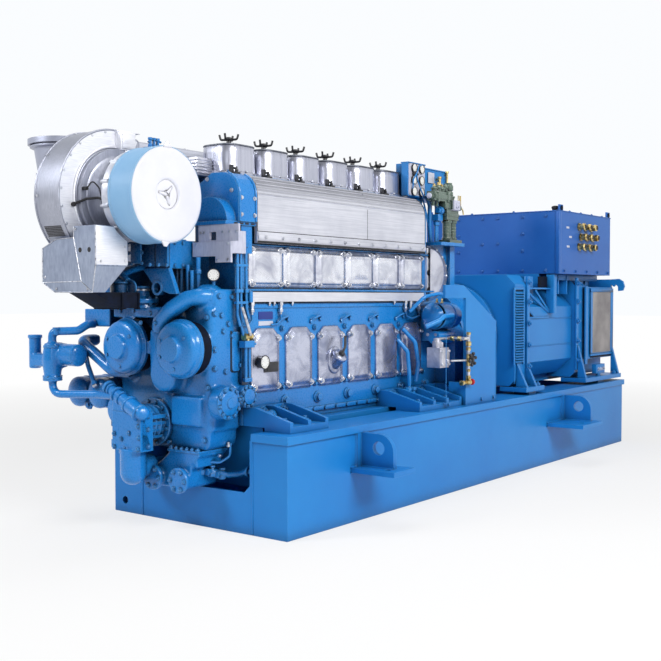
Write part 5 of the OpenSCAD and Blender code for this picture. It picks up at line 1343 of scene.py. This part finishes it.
gear_dish = bmesh.new()
last = None
for wide, tall, y in ((0.278, 0.189, -0.222), (0.2795, 0.190, -0.224), (0.2795, 0.190, -0.229),
        (0.277, 0.188, -0.231), (0.250, 0.182, -0.2345), (0.228, 0.178, -0.242), (0.212, 0.174, -0.250),
        (0.196, 0.171, -0.2565), (0.186, 0.168, -0.2595), (0.176, 0.163, -0.2605), (0.140, 0.140, -0.2600),
        (0.06, 0.06, -0.2595), (0.002, 0.002, -0.2595)):
    ring = half_oval(gear_dish, wide, tall, y)
    if last:
        for k in range(len(ring) - 1):
            gear_dish.faces.new((last[k], last[k + 1], ring[k + 1], ring[k]))
    last = ring
gear_dish.faces.new(last)
finished("gear_cover_dish", gear_dish, satin_cast, sharp=50)
strap = bmesh.new()
raised(strap, round_outline(0.057, 0.350, 0.006), mm((0, 0), (0, 16), (1.5, 17.8), (10, 17.8)),
    (-0.2259, -0.222, dish_z))
flange_piece = finished("gear_cover_flange", strap, pale_lagging)
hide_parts("gear_cover")
bolted("gear_cover_bolts", [(-0.238, -0.2405, z, NEAR) for z in (1.545, 1.425, 1.305)], 17, phenolic,
    washer=1.4)
bolted("gear_cover_rim_bolts", [(dish_x + 0.262 * math.sin(math.radians(a)), -0.2315,
    dish_z + 0.184 * math.cos(math.radians(a)), NEAR) for a in range(28, 160, 22)], 9, zinc)

# ---------------------------------------------------------------- starter motor
# Electric starter on the flywheel housing with its solenoid below, painted over;
# its enamel darkens only its narrowest gaps with painted shade.
starter_enamel = enamel("blue_enamel_narrow_painted_shade", "#1a80cf", "#258fdc", "#7dbcf0", 0.24, 0.006, 0.0014, 0.006,
    reach=0.05, painted_shade=0.75, coat=0.4)
wear("starter_motor", starter_enamel)
start_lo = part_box("starter_motor")[0]
bands = bmesh.new()
starter_y, starter_z, starter_r = -0.400, 1.130, 0.086
turned(bands, (start_lo.x, starter_y, starter_z), BACK, [(-0.004, starter_r), (0.0, starter_r - 0.003),
    (0.020, starter_r - 0.012), (0.034, starter_r - 0.034), (0.038, 0.010)])
for x in (0.030, 0.165):
    turned(bands, (start_lo.x + x, starter_y, starter_z), AHEAD, [(0, starter_r - 0.001), (0.002, starter_r + 0.005),
        (0.018, starter_r + 0.005), (0.020, starter_r - 0.001)])
piped(bands, [(-0.60, -0.44, 1.06), (-0.53, -0.50, 1.10), (-0.47, -0.505, 1.13), (-0.36, -0.505, 1.135)], 0.04, 0.017,
    12)
piped(bands, [(-0.62, -0.33, 1.16), (-0.55, -0.40, 1.26), (-0.42, -0.43, 1.28), (-0.27, -0.43, 1.265)], 0.08, 0.012,
    12)
piped(bands, [(-0.66, -0.30, 1.05), (-0.60, -0.36, 0.96), (-0.59, -0.38, 0.82), (-0.59, -0.36, 0.70)], 0.05, 0.014,
    12)
piped(bands, [(-0.70, -0.285, 0.98), (-0.66, -0.34, 0.90), (-0.655, -0.35, 0.75), (-0.64, -0.34, 0.66)], 0.05, 0.014,
    12)
for x, z in ((-0.66, 0.665), (-0.60, 0.665)):
    turned(bands, (x, -0.345, z), DOWN, mm((0, 16), (1, 26), (22, 26), (24, 18), (50, 18)), 8)
finished("starter_fittings", bands, starter_enamel)
bolted("starter_bolts", ring_places((start_lo.x - 0.014, starter_y, starter_z), 0.066, (45, 135, 225, 315), BACK)
    + [(start_lo.x - 0.008, starter_y + 0.03 * s, 1.005, BACK) for s in (-1, 1)], 10, zinc)
terminal = bmesh.new()
for y in (-0.44, -0.40):
    turned(terminal, (start_lo.x + 0.06, y, 1.216), UP, mm((0, 12), (10, 12), (11, 7), (30, 7)), 8)
finished("starter_terminals", terminal, brass)

# ---------------------------------------------------------------- drain valves
# Start-air and drain column by the guard: brass fittings between steel tube,
# a black hand wheel, a red capped drain, and a bright control block behind.
drain_x, drain_y, drain_z = -0.3995, -0.648, 0.690
column = bmesh.new()
swept(column, [(drain_x, drain_y, drain_z), (drain_x, drain_y, drain_z + 0.330)], 0.0115, 16)
swept(column, [(drain_x - 0.075, drain_y, drain_z + 0.295), (drain_x + 0.004, drain_y, drain_z + 0.295)], 0.011, 14)
swept(column, [(drain_x - 0.060, drain_y, drain_z + 0.295), (drain_x - 0.060, drain_y + 0.120, drain_z + 0.295)],
    0.011, 14)
piped(column, [(drain_x - 0.050, drain_y + 0.110, drain_z + 0.295), (drain_x - 0.200, drain_y + 0.110,
    drain_z + 0.295), (drain_x - 0.200, drain_y + 0.110, drain_z + 0.225)], 0.03, 0.010, 12)
swept(column, [(drain_x - 0.150, drain_y + 0.045, drain_z + 0.152), (drain_x - 0.03, drain_y, drain_z + 0.152)],
    0.007)
steel_piece = finished("drain_column", column, zinc)
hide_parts("drain_valves")
nuts = bmesh.new()
for z, tall, r in ((0.020, 0.030, 0.019), (0.075, 0.018, 0.016), (0.112, 0.080, 0.0145), (0.215, 0.022, 0.018),
        (0.245, 0.030, 0.0205), (0.318, 0.018, 0.0165)):
    turned(nuts, (drain_x, drain_y, drain_z + z), UP, [(0, r * 0.85), (0.002, r), (tall - 0.002, r),
        (tall, r * 0.85)], 6 if tall < 0.05 else 16)
for y in (0.020, 0.075):
    turned(nuts, (drain_x - 0.060, drain_y + y, drain_z + 0.295), FAR, mm((0, 12), (1, 18), (22, 18), (23, 12)), 6)
turned(nuts, (drain_x - 0.095, drain_y, drain_z + 0.005), AHEAD, mm((0, 10), (1, 17), (20, 17), (22, 12), (66, 12),
    (68, 18), (112, 18), (114, 11), (130, 11)), 12)
turned(nuts, (drain_x - 0.200, drain_y + 0.110, drain_z + 0.226), UP, mm((0, 19), (24, 19), (25, 11)), 6)
finished("brass_fittings", nuts, brass)
wheel = bmesh.new()
hub = Vector((drain_x - 0.005, drain_y - 0.012, drain_z + 0.158))
turned(wheel, hub, NEAR, mm((0, 14), (30, 14), (32, 10)), 16)
for k in range(6):
    arm = spoke(60 * k + 15)
    swept(wheel, [hub + NEAR * 0.022 + arm * 0.010, hub + NEAR * 0.022 + arm * 0.036], 0.0065, 8)
    turned(wheel, hub + NEAR * 0.012 + arm * 0.038, NEAR, mm((0, 6), (4, 11.5), (16, 11.5), (20, 6)), 12)
finished("hand_wheel", wheel, phenolic)
red = mottled("red_moulded_cap", 50.0, 3.0, [(0.3, "#a51520"), (0.7, "#d02834")], (0.3, 0.5))
cap = bmesh.new()
turned(cap, (drain_x + 0.036, drain_y, drain_z + 0.005), AHEAD, mm((0, 14), (2, 21), (16, 21), (22, 16), (24, 6)), 20)
finished("drain_cap", cap, red)
control = bmesh.new()
boxed(control, (drain_x - 0.260, drain_y + 0.060, drain_z + 0.110), (drain_x - 0.150, drain_y + 0.160,
    drain_z + 0.240))
boxed(control, (drain_x - 0.256, drain_y + 0.052, drain_z + 0.122), (drain_x - 0.154, drain_y + 0.060,
    drain_z + 0.228))
turned(control, (drain_x - 0.226, drain_y + 0.105, drain_z + 0.240), UP, mm((0, 28), (4, 30), (40, 30), (44, 22),
    (60, 22), (64, 10)), 24)
turned(control, (drain_x - 0.176, drain_y + 0.105, drain_z + 0.240), UP, mm((0, 16), (30, 16), (34, 10)), 16)
turned(control, (drain_x - 0.178, drain_y + 0.052, drain_z + 0.150), NEAR, mm((0, 18), (8, 18), (10, 12)), 6)
finished("control_block", control, satin_cast, soften=0.002)
bolted("control_block_bolts", [(drain_x - 0.205 + across * 0.042, drain_y + 0.052, drain_z + 0.175 + above * 0.042,
    NEAR) for across in (-1, 1) for above in (-1, 1)], 9, zinc)

# ---------------------------------------------------------------- instrument panel
# Steel gauge box on the hot box: bright face plate with six dials, a second
# box with a bare label plate, a sight tube and a few small lines.
wear("instrument_panel", plate_enamel)
plate = bmesh.new()
box_x0, box_x1, box_y, box_z0, box_z1 = -0.3995, -0.1795, -0.172, 1.950, 2.180
raised(plate, round_outline(0.206, 0.216, 0.006), mm((0, 0), (0, 2), (0.8, 2.8), (4, 2.8)),
    ((box_x0 + box_x1) / 2, box_y, (box_z0 + box_z1) / 2))
finished("gauge_plate", plate, plated)
for x in (-0.337, -0.242):
    for z in (2.143, 2.064, 1.984):
        dial(cases, cards, (x, box_y - 0.003, z), NEAR, 0.031, 0.012)
knobs = bmesh.new()
turned(knobs, (-0.338, box_y - 0.003, 2.104), NEAR, mm((0, 13), (4, 17), (16, 17), (20, 10)), 16)
turned(knobs, (-0.290, box_y - 0.003, 2.104), NEAR, mm((0, 9), (10, 9), (12, 6)), 12)
finished("gauge_knobs", knobs, phenolic)
boxes = bmesh.new()
boxed(boxes, (box_x0 - 0.002, box_y - 0.004, box_z1 - 0.003), (box_x1 + 0.004, -0.114, box_z1 + 0.003))
boxed(boxes, (box_x1, -0.126, 2.166), (0.206, 0.026, 2.173))
boxed(boxes, (box_x0 - 0.0025, -0.1715, 1.955), (box_x0, -0.120, 2.176))
piped(boxes, [(-0.36, -0.186, 2.00), (-0.372, -0.198, 2.06), (-0.335, -0.205, 2.11), (-0.30, -0.20, 2.165),
    (-0.25, -0.19, 2.17), (-0.20, -0.150, 2.165)], 0.03, 0.0045, 8)
piped(boxes, [(-0.325, -0.19, 2.11), (-0.315, -0.20, 2.05), (-0.29, -0.21, 1.99), (-0.24, -0.20, 1.955),
    (-0.21, -0.16, 1.945)], 0.03, 0.0045, 8)
piped(boxes, [(-0.20, -0.135, 1.99), (-0.19, -0.165, 1.93), (-0.18, -0.185, 1.84), (-0.175, -0.190, 1.78)], 0.03,
    0.006, 8)
finished("panel_trim", boxes, plate_enamel)
bolted("panel_screws", [(x, box_y - 0.0028, z, NEAR) for x in (box_x0 + 0.014, box_x1 - 0.014)
    for z in (box_z0 + 0.014, box_z1 - 0.014)] + [(0.010 + across * 0.160, -0.120, 2.055 + above * 0.090, NEAR)
    for across in (-1, 1) for above in (-1, 1)], 5, zinc)
boxed(plate_tin, (-0.063, -0.1275, 2.070), (0.020, -0.1252, 2.146))
sight = bmesh.new()
for x, y, low, high, r in ((0.054, -0.150, 2.046, 2.108, 0.0105), (0.186, -0.134, 2.020, 2.160, 0.0075)):
    turned(sight, (x, y, low - 0.014), UP, [(0, r), (0.001, r + 0.005), (0.013, r + 0.005), (0.014, r),
        (high - low + 0.014, r), (high - low + 0.015, r + 0.005), (high - low + 0.028, r + 0.005),
        (high - low + 0.030, r * 0.6)], 12)
    for z in (low + 0.004, high - 0.010):
        boxed(sight, (x - 0.005, y, z), (x + 0.005, -0.120, z + 0.008))
finished("sight_tube", sight, brass)

# ---------------------------------------------------------------- pneumatic valves
# Grey-green painted air valves with bright bowls on a bracket over the gear cover.
sage = enamel("grey_green_enamel", "#3a4c42", "#61766a", "#c9d3c8", 0.22, 0.006, 0.0010, 0.003, reach=0.05, painted_shade=0.9,
    coat=0.6)
wear("pneumatic_valves", sage)
air_valves = bmesh.new()
air_x, air_y = -0.0845, -0.260     # near pump-end corner of the base and the middle plane
for x in (air_x + 0.057, air_x + 0.127):
    turned(air_valves, (x, air_y, 1.660), UP, mm((0, 36), (16, 36), (18, 30.5), (118, 30.5), (120, 37), (136, 37),
        (140, 30)), 28)
    for k in range(3):
        turned(air_valves, (x, air_y, 1.700 + 0.022 * k), UP, mm((0, 30.5), (2, 32.5), (6, 32.5), (8, 30.5)), 28)
for x0, x1, z0, z1, out in ((-0.090, 0.080, 1.826, 1.846, 0.040), (-0.236, -0.040, 1.938, 1.972, 0.038),
        (-0.112, -0.040, 1.880, 1.915, 0.040), (-0.210, -0.190, 1.918, 1.990, 0.042),
        (-0.080, -0.060, 1.92, 2.000, 0.042)):
    boxed(air_valves, (x0, air_y - out, z0), (x1, air_y + 0.030, z1))
turned(air_valves, (-0.2445, air_y, 1.956), BACK, mm((0, 27), (10, 27), (13, 20), (22, 18)), 20)
for x, z, r, tall in ((-0.200, 1.985, 0.020, 0.040), (-0.150, 1.985, 0.024, 0.052), (-0.100, 1.985, 0.022, 0.046),
        (-0.055, 1.985, 0.019, 0.070), (0.0015, 1.936, 0.024, 0.080), (0.040, 1.936, 0.018, 0.046)):
    turned(air_valves, (x, air_y, z), UP, [(0, r), (tall * 0.5, r), (tall * 0.5 + 0.002, r + 0.005),
        (tall * 0.8, r + 0.005), (tall * 0.8 + 0.002, r - 0.006), (tall, r - 0.008)], 14)
turned(air_valves, (0.0015, air_y, 2.010), UP, mm((0, 26), (4, 30), (34, 30), (40, 24), (54, 20)), 18)
turned(air_valves, (0.060, air_y, 1.897), AHEAD, mm((0, 22), (18, 22), (20, 15), (70, 15), (72, 20), (92, 20),
    (96, 12)), 14)
for x, z in ((-0.215, 1.93), (-0.165, 1.93)):
    turned(air_valves, (x, air_y, z), DOWN, mm((0, 17), (14, 17), (16, 11), (40, 11)), 10)
finished("air_valve_bodies", air_valves, sage, soften=0.0015, sharp=40)
feeds = bmesh.new()
for x, dx in ((-0.140, 0.004), (-0.118, -0.004)):
    piped(feeds, [(x - 0.02, -0.245, 1.925), (x, -0.240, 1.880), (x + dx, -0.236, 1.76), (x, -0.236, 1.645)], 0.04,
        0.011)
    turned(feeds, (x + dx, -0.236, 1.790), DOWN, mm((0, 12), (2, 20), (30, 20), (32, 12)), 6)
turned(feeds, (-0.160, -0.262, 1.862), AHEAD, mm((0, 20), (20, 20), (22, 30), (44, 30), (46, 18), (70, 18)), 14)
boxed(feeds, (-0.160, -0.270, 1.790), (-0.100, -0.210, 1.835))
piped(feeds, [(-0.19, -0.19, 1.965), (-0.16, -0.20, 1.90), (-0.165, -0.20, 1.75), (-0.15, -0.20, 1.645)], 0.04, 0.016)
finished("air_feed_pipes", feeds)
pale_box = bmesh.new()
boxed(pale_box, (-0.030, -0.322, 1.872), (0.056, -0.305, 1.938))
boxed(pale_box, (-0.034, -0.312, 1.868), (0.060, -0.224, 1.873))
turned(pale_box, (0.012, -0.322, 1.902), NEAR, mm((0, 22), (6, 22), (8, 14), (16, 12)), 20)
turned(pale_box, (-0.262, air_y, 1.956), BACK, mm((0, 20), (10, 20), (12, 12)), 16)
finished("solenoid_box", pale_box, plated, soften=0.002)
rods = bmesh.new()
for x in (0.118, 0.140, 0.152):
    swept(rods, [(x, -0.268, 1.880), (x, -0.268, 1.985)], 0.0038, 8)
for x, z in ((-0.200, 2.025), (-0.150, 2.037), (-0.100, 2.031), (0.040, 1.982)):
    turned(rods, (x, air_y, z), UP, mm((0, 10), (10, 10), (12, 6), (20, 6)), 8)
for x in (air_x + 0.057, air_x + 0.127):
    turned(rods, (x, air_y, 1.798), UP, mm((0, 30.5), (2, 32.5), (10, 32.5), (12, 30.5)), 24)
piped(rods, [(0.150, -0.268, 1.90), (0.170, -0.275, 1.885), (0.176, -0.278, 1.850)], 0.01, 0.005, 8)
finished("air_valve_brass", rods, brass)

# ---------------------------------------------------------------- flywheel side
# Cast housings round the flywheel and coupling, and folded plate guards.
wear("flywheel_housing", cast_enamel)
wear("coupling_housing", cast_enamel)
wear("flywheel_guards", plate_enamel)
guard_lo, guard_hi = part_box("flywheel_guards")
couple_lo, couple_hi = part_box("coupling_housing")
shaft_z = 0.960
coupling_places = ring_places((couple_hi.x - 0.035, 0, shaft_z), 0.355, range(0, 360, 20), BACK)
coupling_places += ring_places((couple_lo.x + 0.030, 0, shaft_z), 0.352, range(0, 360, 20), AHEAD)
bolted("coupling_bolts", coupling_places, 18, stud=0.3)
guard_edges = bmesh.new()
for side in (-1, 1):
    y = side * 0.620
    for x in (guard_lo.x + 0.010, guard_hi.x - 0.010):
        swept(guard_edges, [(x, y, 0.545), (x, y, 1.02)], 0.0025, 6)
finished("guard_folds", guard_edges, plate_enamel)
bolted("guard_bolts", [(x, side * 0.620, 0.565, outward[side]) for side in (-1, 1)
    for x in (guard_lo.x + 0.04, -0.17, guard_hi.x - 0.04)], 12, plate_enamel)

# ---------------------------------------------------------------- alternator
# Welded steel frames and plates in one coat of blue: louvres in the front
# frame, wire mesh in the rear housing, braces and lifting lugs on the stator.
for node in ("generator_stator", "generator_end_frames", "generator_rear_housing", "generator_feet"):
    wear(node, plate_enamel)
sheet = bmesh.new()
shadow = bmesh.new()
for side in (-1, 1):

    def slab(shape, x0, x1, z0, z1, y0, y1):
        """A flat piece on this side between two distances from the middle plane."""
        boxed(shape, (x0, side * y0, z0), (x1, side * y1, z1))

    # louvres in an opening of the front frame, with painted shade behind them
    slab(shadow, 0.468, 0.598, 0.770, 1.306, 0.541, 0.5425)
    for k in range(27):
        z = 0.776 + 0.0195 * k
        sheet_face = [Vector((x, side * y, zz)) for x, y, zz in ((0.466, 0.5425, z + 0.0155),
            (0.600, 0.5425, z + 0.0155), (0.600, 0.558, z), (0.466, 0.558, z))]
        back_face = [p + Vector((0, -side * 0.0015, -0.003)) for p in sheet_face]
        slab_between(sheet, back_face, sheet_face)
    for x in (0.456, 0.606):
        slab(sheet, x - 0.008, x + 0.008, 0.760, 1.322, 0.540, 0.552)
    slab(sheet, 0.448, 0.614, 1.312, 1.326, 0.540, 0.550)
    # flanges of the two ring frames and the brace plates between them
    slab(sheet, 0.650, 0.690, 0.700, 1.412, 0.540, 0.556)
    slab(sheet, 1.100, 1.152, 1.130, 1.432, 0.496, 0.560)
    slab(sheet, 0.690, 1.100, 1.316, 1.328, 0.500, 0.534)
    slab(sheet, 1.152, 2.100, 1.392, 1.438, 0.470, 0.500)
    for x0, z0, x1, z1 in ((0.700, 1.190, 0.860, 1.104), (0.700, 1.312, 1.100, 1.140), (0.860, 1.316, 1.102, 1.150)):
        swept(sheet, [(x0, side * 0.512, z0), (x1, side * 0.512, z1)], 0.011, 6)
    slab(shadow, 0.942, 1.098, 1.332, 1.415, 0.498, 0.504)
    corner = ((0.690, 1.185), (0.690, 1.108), (0.852, 1.108))
    slab_between(shadow, *[[(x, side * y, z) for x, z in corner] for y in (0.5105, 0.514)])
    slab(sheet, 0.687, 1.100, 1.094, 1.106, 0.510, 0.520)
    for x in (1.30, 1.46):
        slab(sheet, x, x + 0.016, 1.28, 1.432, 0.40, 0.505)
    for z in (0.88, 1.09):
        welded(sheet, (0.70, side * 0.512, z), (1.54, side * 0.512, z), 0.004)
    # frame round the mesh and its drip edge
    for z0, z1 in ((1.299, 1.330), (0.762, 0.787)):
        slab(sheet, 1.800, 2.290, z0, z1, 0.560, 0.572)
    for x0, x1 in ((1.800, 1.842), (2.236, 2.290)):
        slab(sheet, x0, x1, 0.787, 1.299, 0.560, 0.572)
    slab(shadow, 1.818, 2.240, 0.749, 0.761, 0.562, 0.574)
    slab(sheet, 1.690, 1.735, 0.70, 1.345, 0.560, 0.574)
    slab(sheet, 1.545, 1.585, 0.66, 1.412, 0.540, 0.556)
    # earth terminal blocks over the rear foot
    slab(sheet, 1.86, 2.04, 0.612, 0.690, 0.560, 0.600)
    welded(sheet, (0.4755, side * 0.542, 0.62), (0.4755, side * 0.542, 1.35), 0.004)
finished("alternator_plates", sheet, plate_enamel, soften=0.0015)
# the opening behind the louvres, the brace slot, the corner wedge and the gap under the drip edge are near-black:
# painted shade
finished("alternator_openings", shadow, shadow_black)
# Woven wire mesh over the air inlet, on a dull grey screen.
wires = bmesh.new()
for side in (-1, 1):
    for k in range(40):
        x = 1.842 + 0.0101 * k
        swept(wires, [(x, side * 0.5665, 0.785), (x, side * 0.5665, 1.301)], 0.0018, 4)
    for k in range(52):
        z = 0.787 + 0.0100 * k
        swept(wires, [(1.840, side * 0.5675, z), (2.238, side * 0.5675, z)], 0.0018, 4)
    boxed(wires, (1.840, side * 0.5605, 0.785), (2.238, side * 0.5630, 1.301))
mesh_grey = mottled("galvanised_wire", 6.0, 5.0, [(0.3, "#8d8a8c"), (0.7, "#b6b2b2")], (0.4, 0.6), Metallic=0.6)
finished("air_inlet_mesh", wires, mesh_grey, sharp=60)
feet_bolts = [(x, side * 0.600, 0.594, UP) for side in (-1, 1) for x in (0.520, 0.740, 1.62, 1.90, 2.24)]
feet_bolts += [(x, side * 0.556, z, outward[side]) for side in (-1, 1) for x in (0.670, 1.565)
    for z in (0.74, 0.90, 1.06, 1.22, 1.37)]
bolted("alternator_bolts", feet_bolts, 22, plate_enamel, stud=0.5)
bolted("earth_bolts", [(x, side * 0.600, 0.650, outward[side]) for side in (-1, 1) for x in (1.90, 1.95, 2.00)], 14,
    zinc, stud=0.5)
# Rear end: a bolted cover over the bearing, exciter cover and air grille.
tail_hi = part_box("generator_rear_housing")[1]
back = bmesh.new()
raised(back, round_outline(0.86, 0.52, 0.02), mm((0, 0), (0, 6), (2, 8), (20, 8)), (tail_hi.x, 0, 1.04), (0, 1, 0),
    (0, 0, 1))
finished("rear_cover_plate", back, plate_enamel)
bolted("rear_cover_bolts", [(tail_hi.x + 0.008, y, z, AHEAD) for y in (-0.40, -0.20, 0, 0.20, 0.40)
    for z in (0.80, 1.28)] + [(tail_hi.x + 0.008, y, z, AHEAD) for y in (-0.41, 0.41) for z in (0.96, 1.12)], 12,
    plate_enamel)

# ---------------------------------------------------------------- terminal box
# Folded steel box in a darker blue, partly its own paint and partly painted shade; bolted
# covers on every side, brass cable glands on the near side and black ones at the rear.
night = enamel("dark_blue_enamel_partly_painted_shade", "#1a5db2", "#2068bd", "#6d9cdc", 0.38, 0.006, 0.0006, 0.004)
wear("terminal_box", night)
box_lo, box_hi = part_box("terminal_box")
box_trim = bmesh.new()
for side in (-1, 1):
    boxed(box_trim, (box_lo.x - 0.003, side * (box_hi.y + 0.004), box_lo.z),
        (box_lo.x + 0.036, side * (box_hi.y - 0.004), box_hi.z))
    boxed(box_trim, (box_lo.x - 0.004, side * (box_hi.y + 0.002), box_lo.z),
        (box_lo.x, side * (box_hi.y - 0.030), box_hi.z))
    for x in (box_lo.x + 0.006, box_hi.x - 0.076):
        boxed(box_trim, (x, side * (box_hi.y - 0.002), box_hi.z - 0.02), (x + 0.070, side * (box_hi.y - 0.014),
            box_hi.z + 0.048))
boxed(box_trim, (box_lo.x - 0.004, box_lo.y - 0.004, box_hi.z - 0.004), (box_hi.x + 0.004, box_hi.y + 0.004,
    box_hi.z + 0.003))
finished("terminal_box_trim", box_trim, night, soften=0.001)
heads = [(box_lo.x, y, z, BACK) for y in (-0.49, -0.29, -0.07, 0.07, 0.29, 0.49) for z in (1.891, 1.465)]
heads += [(box_lo.x, y, z, BACK) for y in (-0.29, 0.29) for z in (1.758, 1.623)] + [(box_lo.x, y, 1.685, BACK)
    for y in (-0.07, 0.07)]
heads += [(box_hi.x, y, z, AHEAD) for y in (-0.49, -0.25, 0, 0.25, 0.49) for z in (1.891, 1.465)]
heads += [(x, y, box_hi.z + 0.003, UP) for x in (1.14, 1.36, 1.58, 1.80, 2.02) for y in (-0.57, -0.19, 0.19, 0.57)]
heads += [(x, side * box_hi.y, 1.462, outward[side]) for side in (-1, 1) for x in (1.20, 1.42, 1.64, 1.86, 2.08)]
bolted("terminal_box_bolts", heads, 12, night, stud=0.3)
# lug eyes as near-black discs: painted shade in the holes
holes = [(x, side * (box_hi.y - 0.001), box_hi.z + 0.022, outward[side]) for side in (-1, 1)
    for x in (box_lo.x + 0.041, box_hi.x - 0.041)]
bolted("box_lug_eyes", holes, 22, shadow_black, washer=1.0, low=0.1, sides=16)
wear("cable_glands", brass)
caps = bmesh.new()
dark_caps = bmesh.new()
for k in range(3):
    for i in range(3):
        x = box_lo.x + 0.370 + 0.117 * i + (0.035 if k == 1 else 0)
        z = box_lo.z + 0.220 + 0.081 * k
        turned(caps, (x, box_lo.y, z), NEAR, mm((0, 28), (1, 32), (12, 32), (13, 27)), 6)
        turned(caps, (x, box_lo.y - 0.036, z), NEAR, mm((0, 24), (1, 29), (16, 29), (19, 25), (24, 19)), 6)
        turned(dark_caps, (x, box_lo.y - 0.0602, z), NEAR, mm((0, 18.5), (2, 18), (3, 10)), 16)
    turned(dark_caps, (box_hi.x, -0.52, 1.585 + 0.050 * k), AHEAD, mm((0, 24), (8, 24), (9, 17), (24, 17), (25, 21),
        (42, 21), (46, 12)), 8)
turned(dark_caps, (1.152, -0.545, box_hi.z + 0.003), UP, mm((0, 22), (4, 26), (12, 26), (22, 32), (32, 30), (38, 16)),
    24)
finished("gland_nuts", caps, brass, sharp=30)
finished("gland_seals_and_knob", dark_caps, rubber_and_hole_shade)
for x, z in ((1.262, 1.805), (1.315, 1.733), (1.272, 1.656)):
    boxed(plate_tin, (x - 0.026, box_lo.y - 0.0015, z - 0.008), (x + 0.026, box_lo.y, z + 0.008))

# ---------------------------------------------------------------- what the dials share
finished("gauge_cases", cases, phenolic, sharp=40)
finished("gauge_cards", cards, dial_face, sharp=40)
tin, tree, shader, place = blank_finish("enamelled_tin", Metallic=0.3)
patch = add(tree, "ShaderNodeTexNoise", {"Vector": place, "Scale": 60.0, "Detail": 2.0})
high = add(tree, "ShaderNodeSeparateXYZ", {"Vector": place})
pick = add(tree, "ShaderNodeMath", {0: high.outputs["Z"], 1: 1.155, 2: 0.025}, operation="COMPARE")
tree.links.new(mixed(tree, pick.outputs[0], linear("#cfd4e4"), linear("#2b3f8f")), shader.inputs["Base Color"])
tree.links.new(spread(tree, patch.outputs["Fac"], (0.0, 1.0), 0.25, 0.5), shader.inputs["Roughness"])
finished("bare_plates", plate_tin, tin, soften=0.0012)

# ---------------------------------------------------------------- floor and light
# A plain pale floor that keeps a soft shadow, a large soft light over the
# camshaft side, a smaller one from the pump end and a pale room around.
floor_mesh = bpy.data.meshes.new("studio_floor")
floor_mesh.from_pydata([(-60, -60, 0), (60, -60, 0), (60, 60, 0), (-60, 60, 0)], [], [(0, 1, 2, 3)])
floor = bpy.data.objects.new("studio_floor", floor_mesh)
bpy.context.scene.collection.objects.link(floor)


def in_sight(tree):
    """1 for rays straight from the camera, and 1 for rays that reach it directly, by gloss or through glass."""
    path = add(tree, "ShaderNodeLightPath").outputs
    direct = add(tree, "ShaderNodeMath", {0: path["Is Camera Ray"], 1: path["Is Glossy Ray"]}, operation="MAXIMUM")
    through = {0: direct.outputs[0], 1: path["Is Transmission Ray"]}
    return path["Is Camera Ray"], add(tree, "ShaderNodeMath", through, operation="MAXIMUM").outputs[0]


paper = bpy.data.materials.new("white_paper")
paper.use_nodes = True
tree = paper.node_tree
tree.nodes.clear()
matt = add(tree, "ShaderNodeBsdfDiffuse", {"Color": linear("#ececec")})
glow = add(tree, "ShaderNodeEmission", {"Color": (1, 1, 1, 1), "Strength": 1.0})
seen = in_sight(tree)[1]
reach = add(tree, "ShaderNodeVectorMath", {0: add(tree, "ShaderNodeTexCoord").outputs["Object"]}, operation="LENGTH")
far_off = spread(tree, reach.outputs["Value"], (3.0, 9.0), 0.70, 1.0)
share = add(tree, "ShaderNodeMath", {0: seen, 1: far_off}, operation="MULTIPLY")
blend = add(tree, "ShaderNodeMixShader", {0: share.outputs[0], 1: matt.outputs[0], 2: glow.outputs[0]})
add(tree, "ShaderNodeOutputMaterial", {"Surface": blend.outputs[0]})
floor_mesh.materials.append(paper)

world = bpy.data.worlds.new("pale_room")
bpy.context.scene.world = world
world.use_nodes = True
tree = world.node_tree
tree.nodes.clear()
way = add(tree, "ShaderNodeSeparateXYZ", {"Vector": add(tree, "ShaderNodeTexCoord").outputs["Generated"]})
roof = spread(tree, way.outputs["Z"], (0.32, 0.85), 1.0, 0.35)
ends = spread(tree, way.outputs["X"], (-0.25, -0.8), 1.0, 0.3)
roof_and_ends = add(tree, "ShaderNodeMath", {0: roof, 1: ends}, operation="MULTIPLY")
looked_at, seen = in_sight(tree)
white_seen = add(tree, "ShaderNodeMath", {0: looked_at, 1: roof_and_ends.outputs[0]}, operation="MAXIMUM")
level = add(tree, "ShaderNodeMix", {"Factor": seen, "A": 0.20, "B": white_seen.outputs[0]}, data_type="FLOAT")
sky = add(tree, "ShaderNodeBackground", {"Color": (0.96, 0.98, 1.0, 1.0), "Strength": level.outputs[0]})
add(tree, "ShaderNodeOutputWorld", {"Surface": sky.outputs[0]})


def soft_light(name, at, towards, size, watts, colour):
    data = bpy.data.lights.new(name, "AREA")
    data.shape = "RECTANGLE"
    data.size, data.size_y = size
    data.energy = watts
    data.color = colour
    lamp = bpy.data.objects.new(name, data)
    bpy.context.scene.collection.objects.link(lamp)
    lamp.location = at
    lamp.rotation_euler = (Vector(towards) - Vector(at)).to_track_quat("-Z", "Y").to_euler()


soft_light("long_side_light", (-2.6, -7.0, 5.2), (0, 0, 0.9), (4.5, 1.8), 500, (1.0, 0.99, 0.97))
soft_light("pump_end_light", (-6.5, 2.4, 4.2), (-2.4, 0, 1.0), (1.5, 1.5), 170, (0.95, 0.97, 1.0))
soft_light("low_corner_light", (-6.2, -2.6, 2.2), (-2.4, -0.2, 1.1), (1.2, 1.2), 14, (0.95, 0.97, 1.0))
soft_light("top_light", (0.0, 0.5, 7.0), (0, 0, 1.5), (5.0, 3.0), 130, (1.0, 1.0, 1.0))
bpy.context.scene.view_settings.view_transform = "Standard"
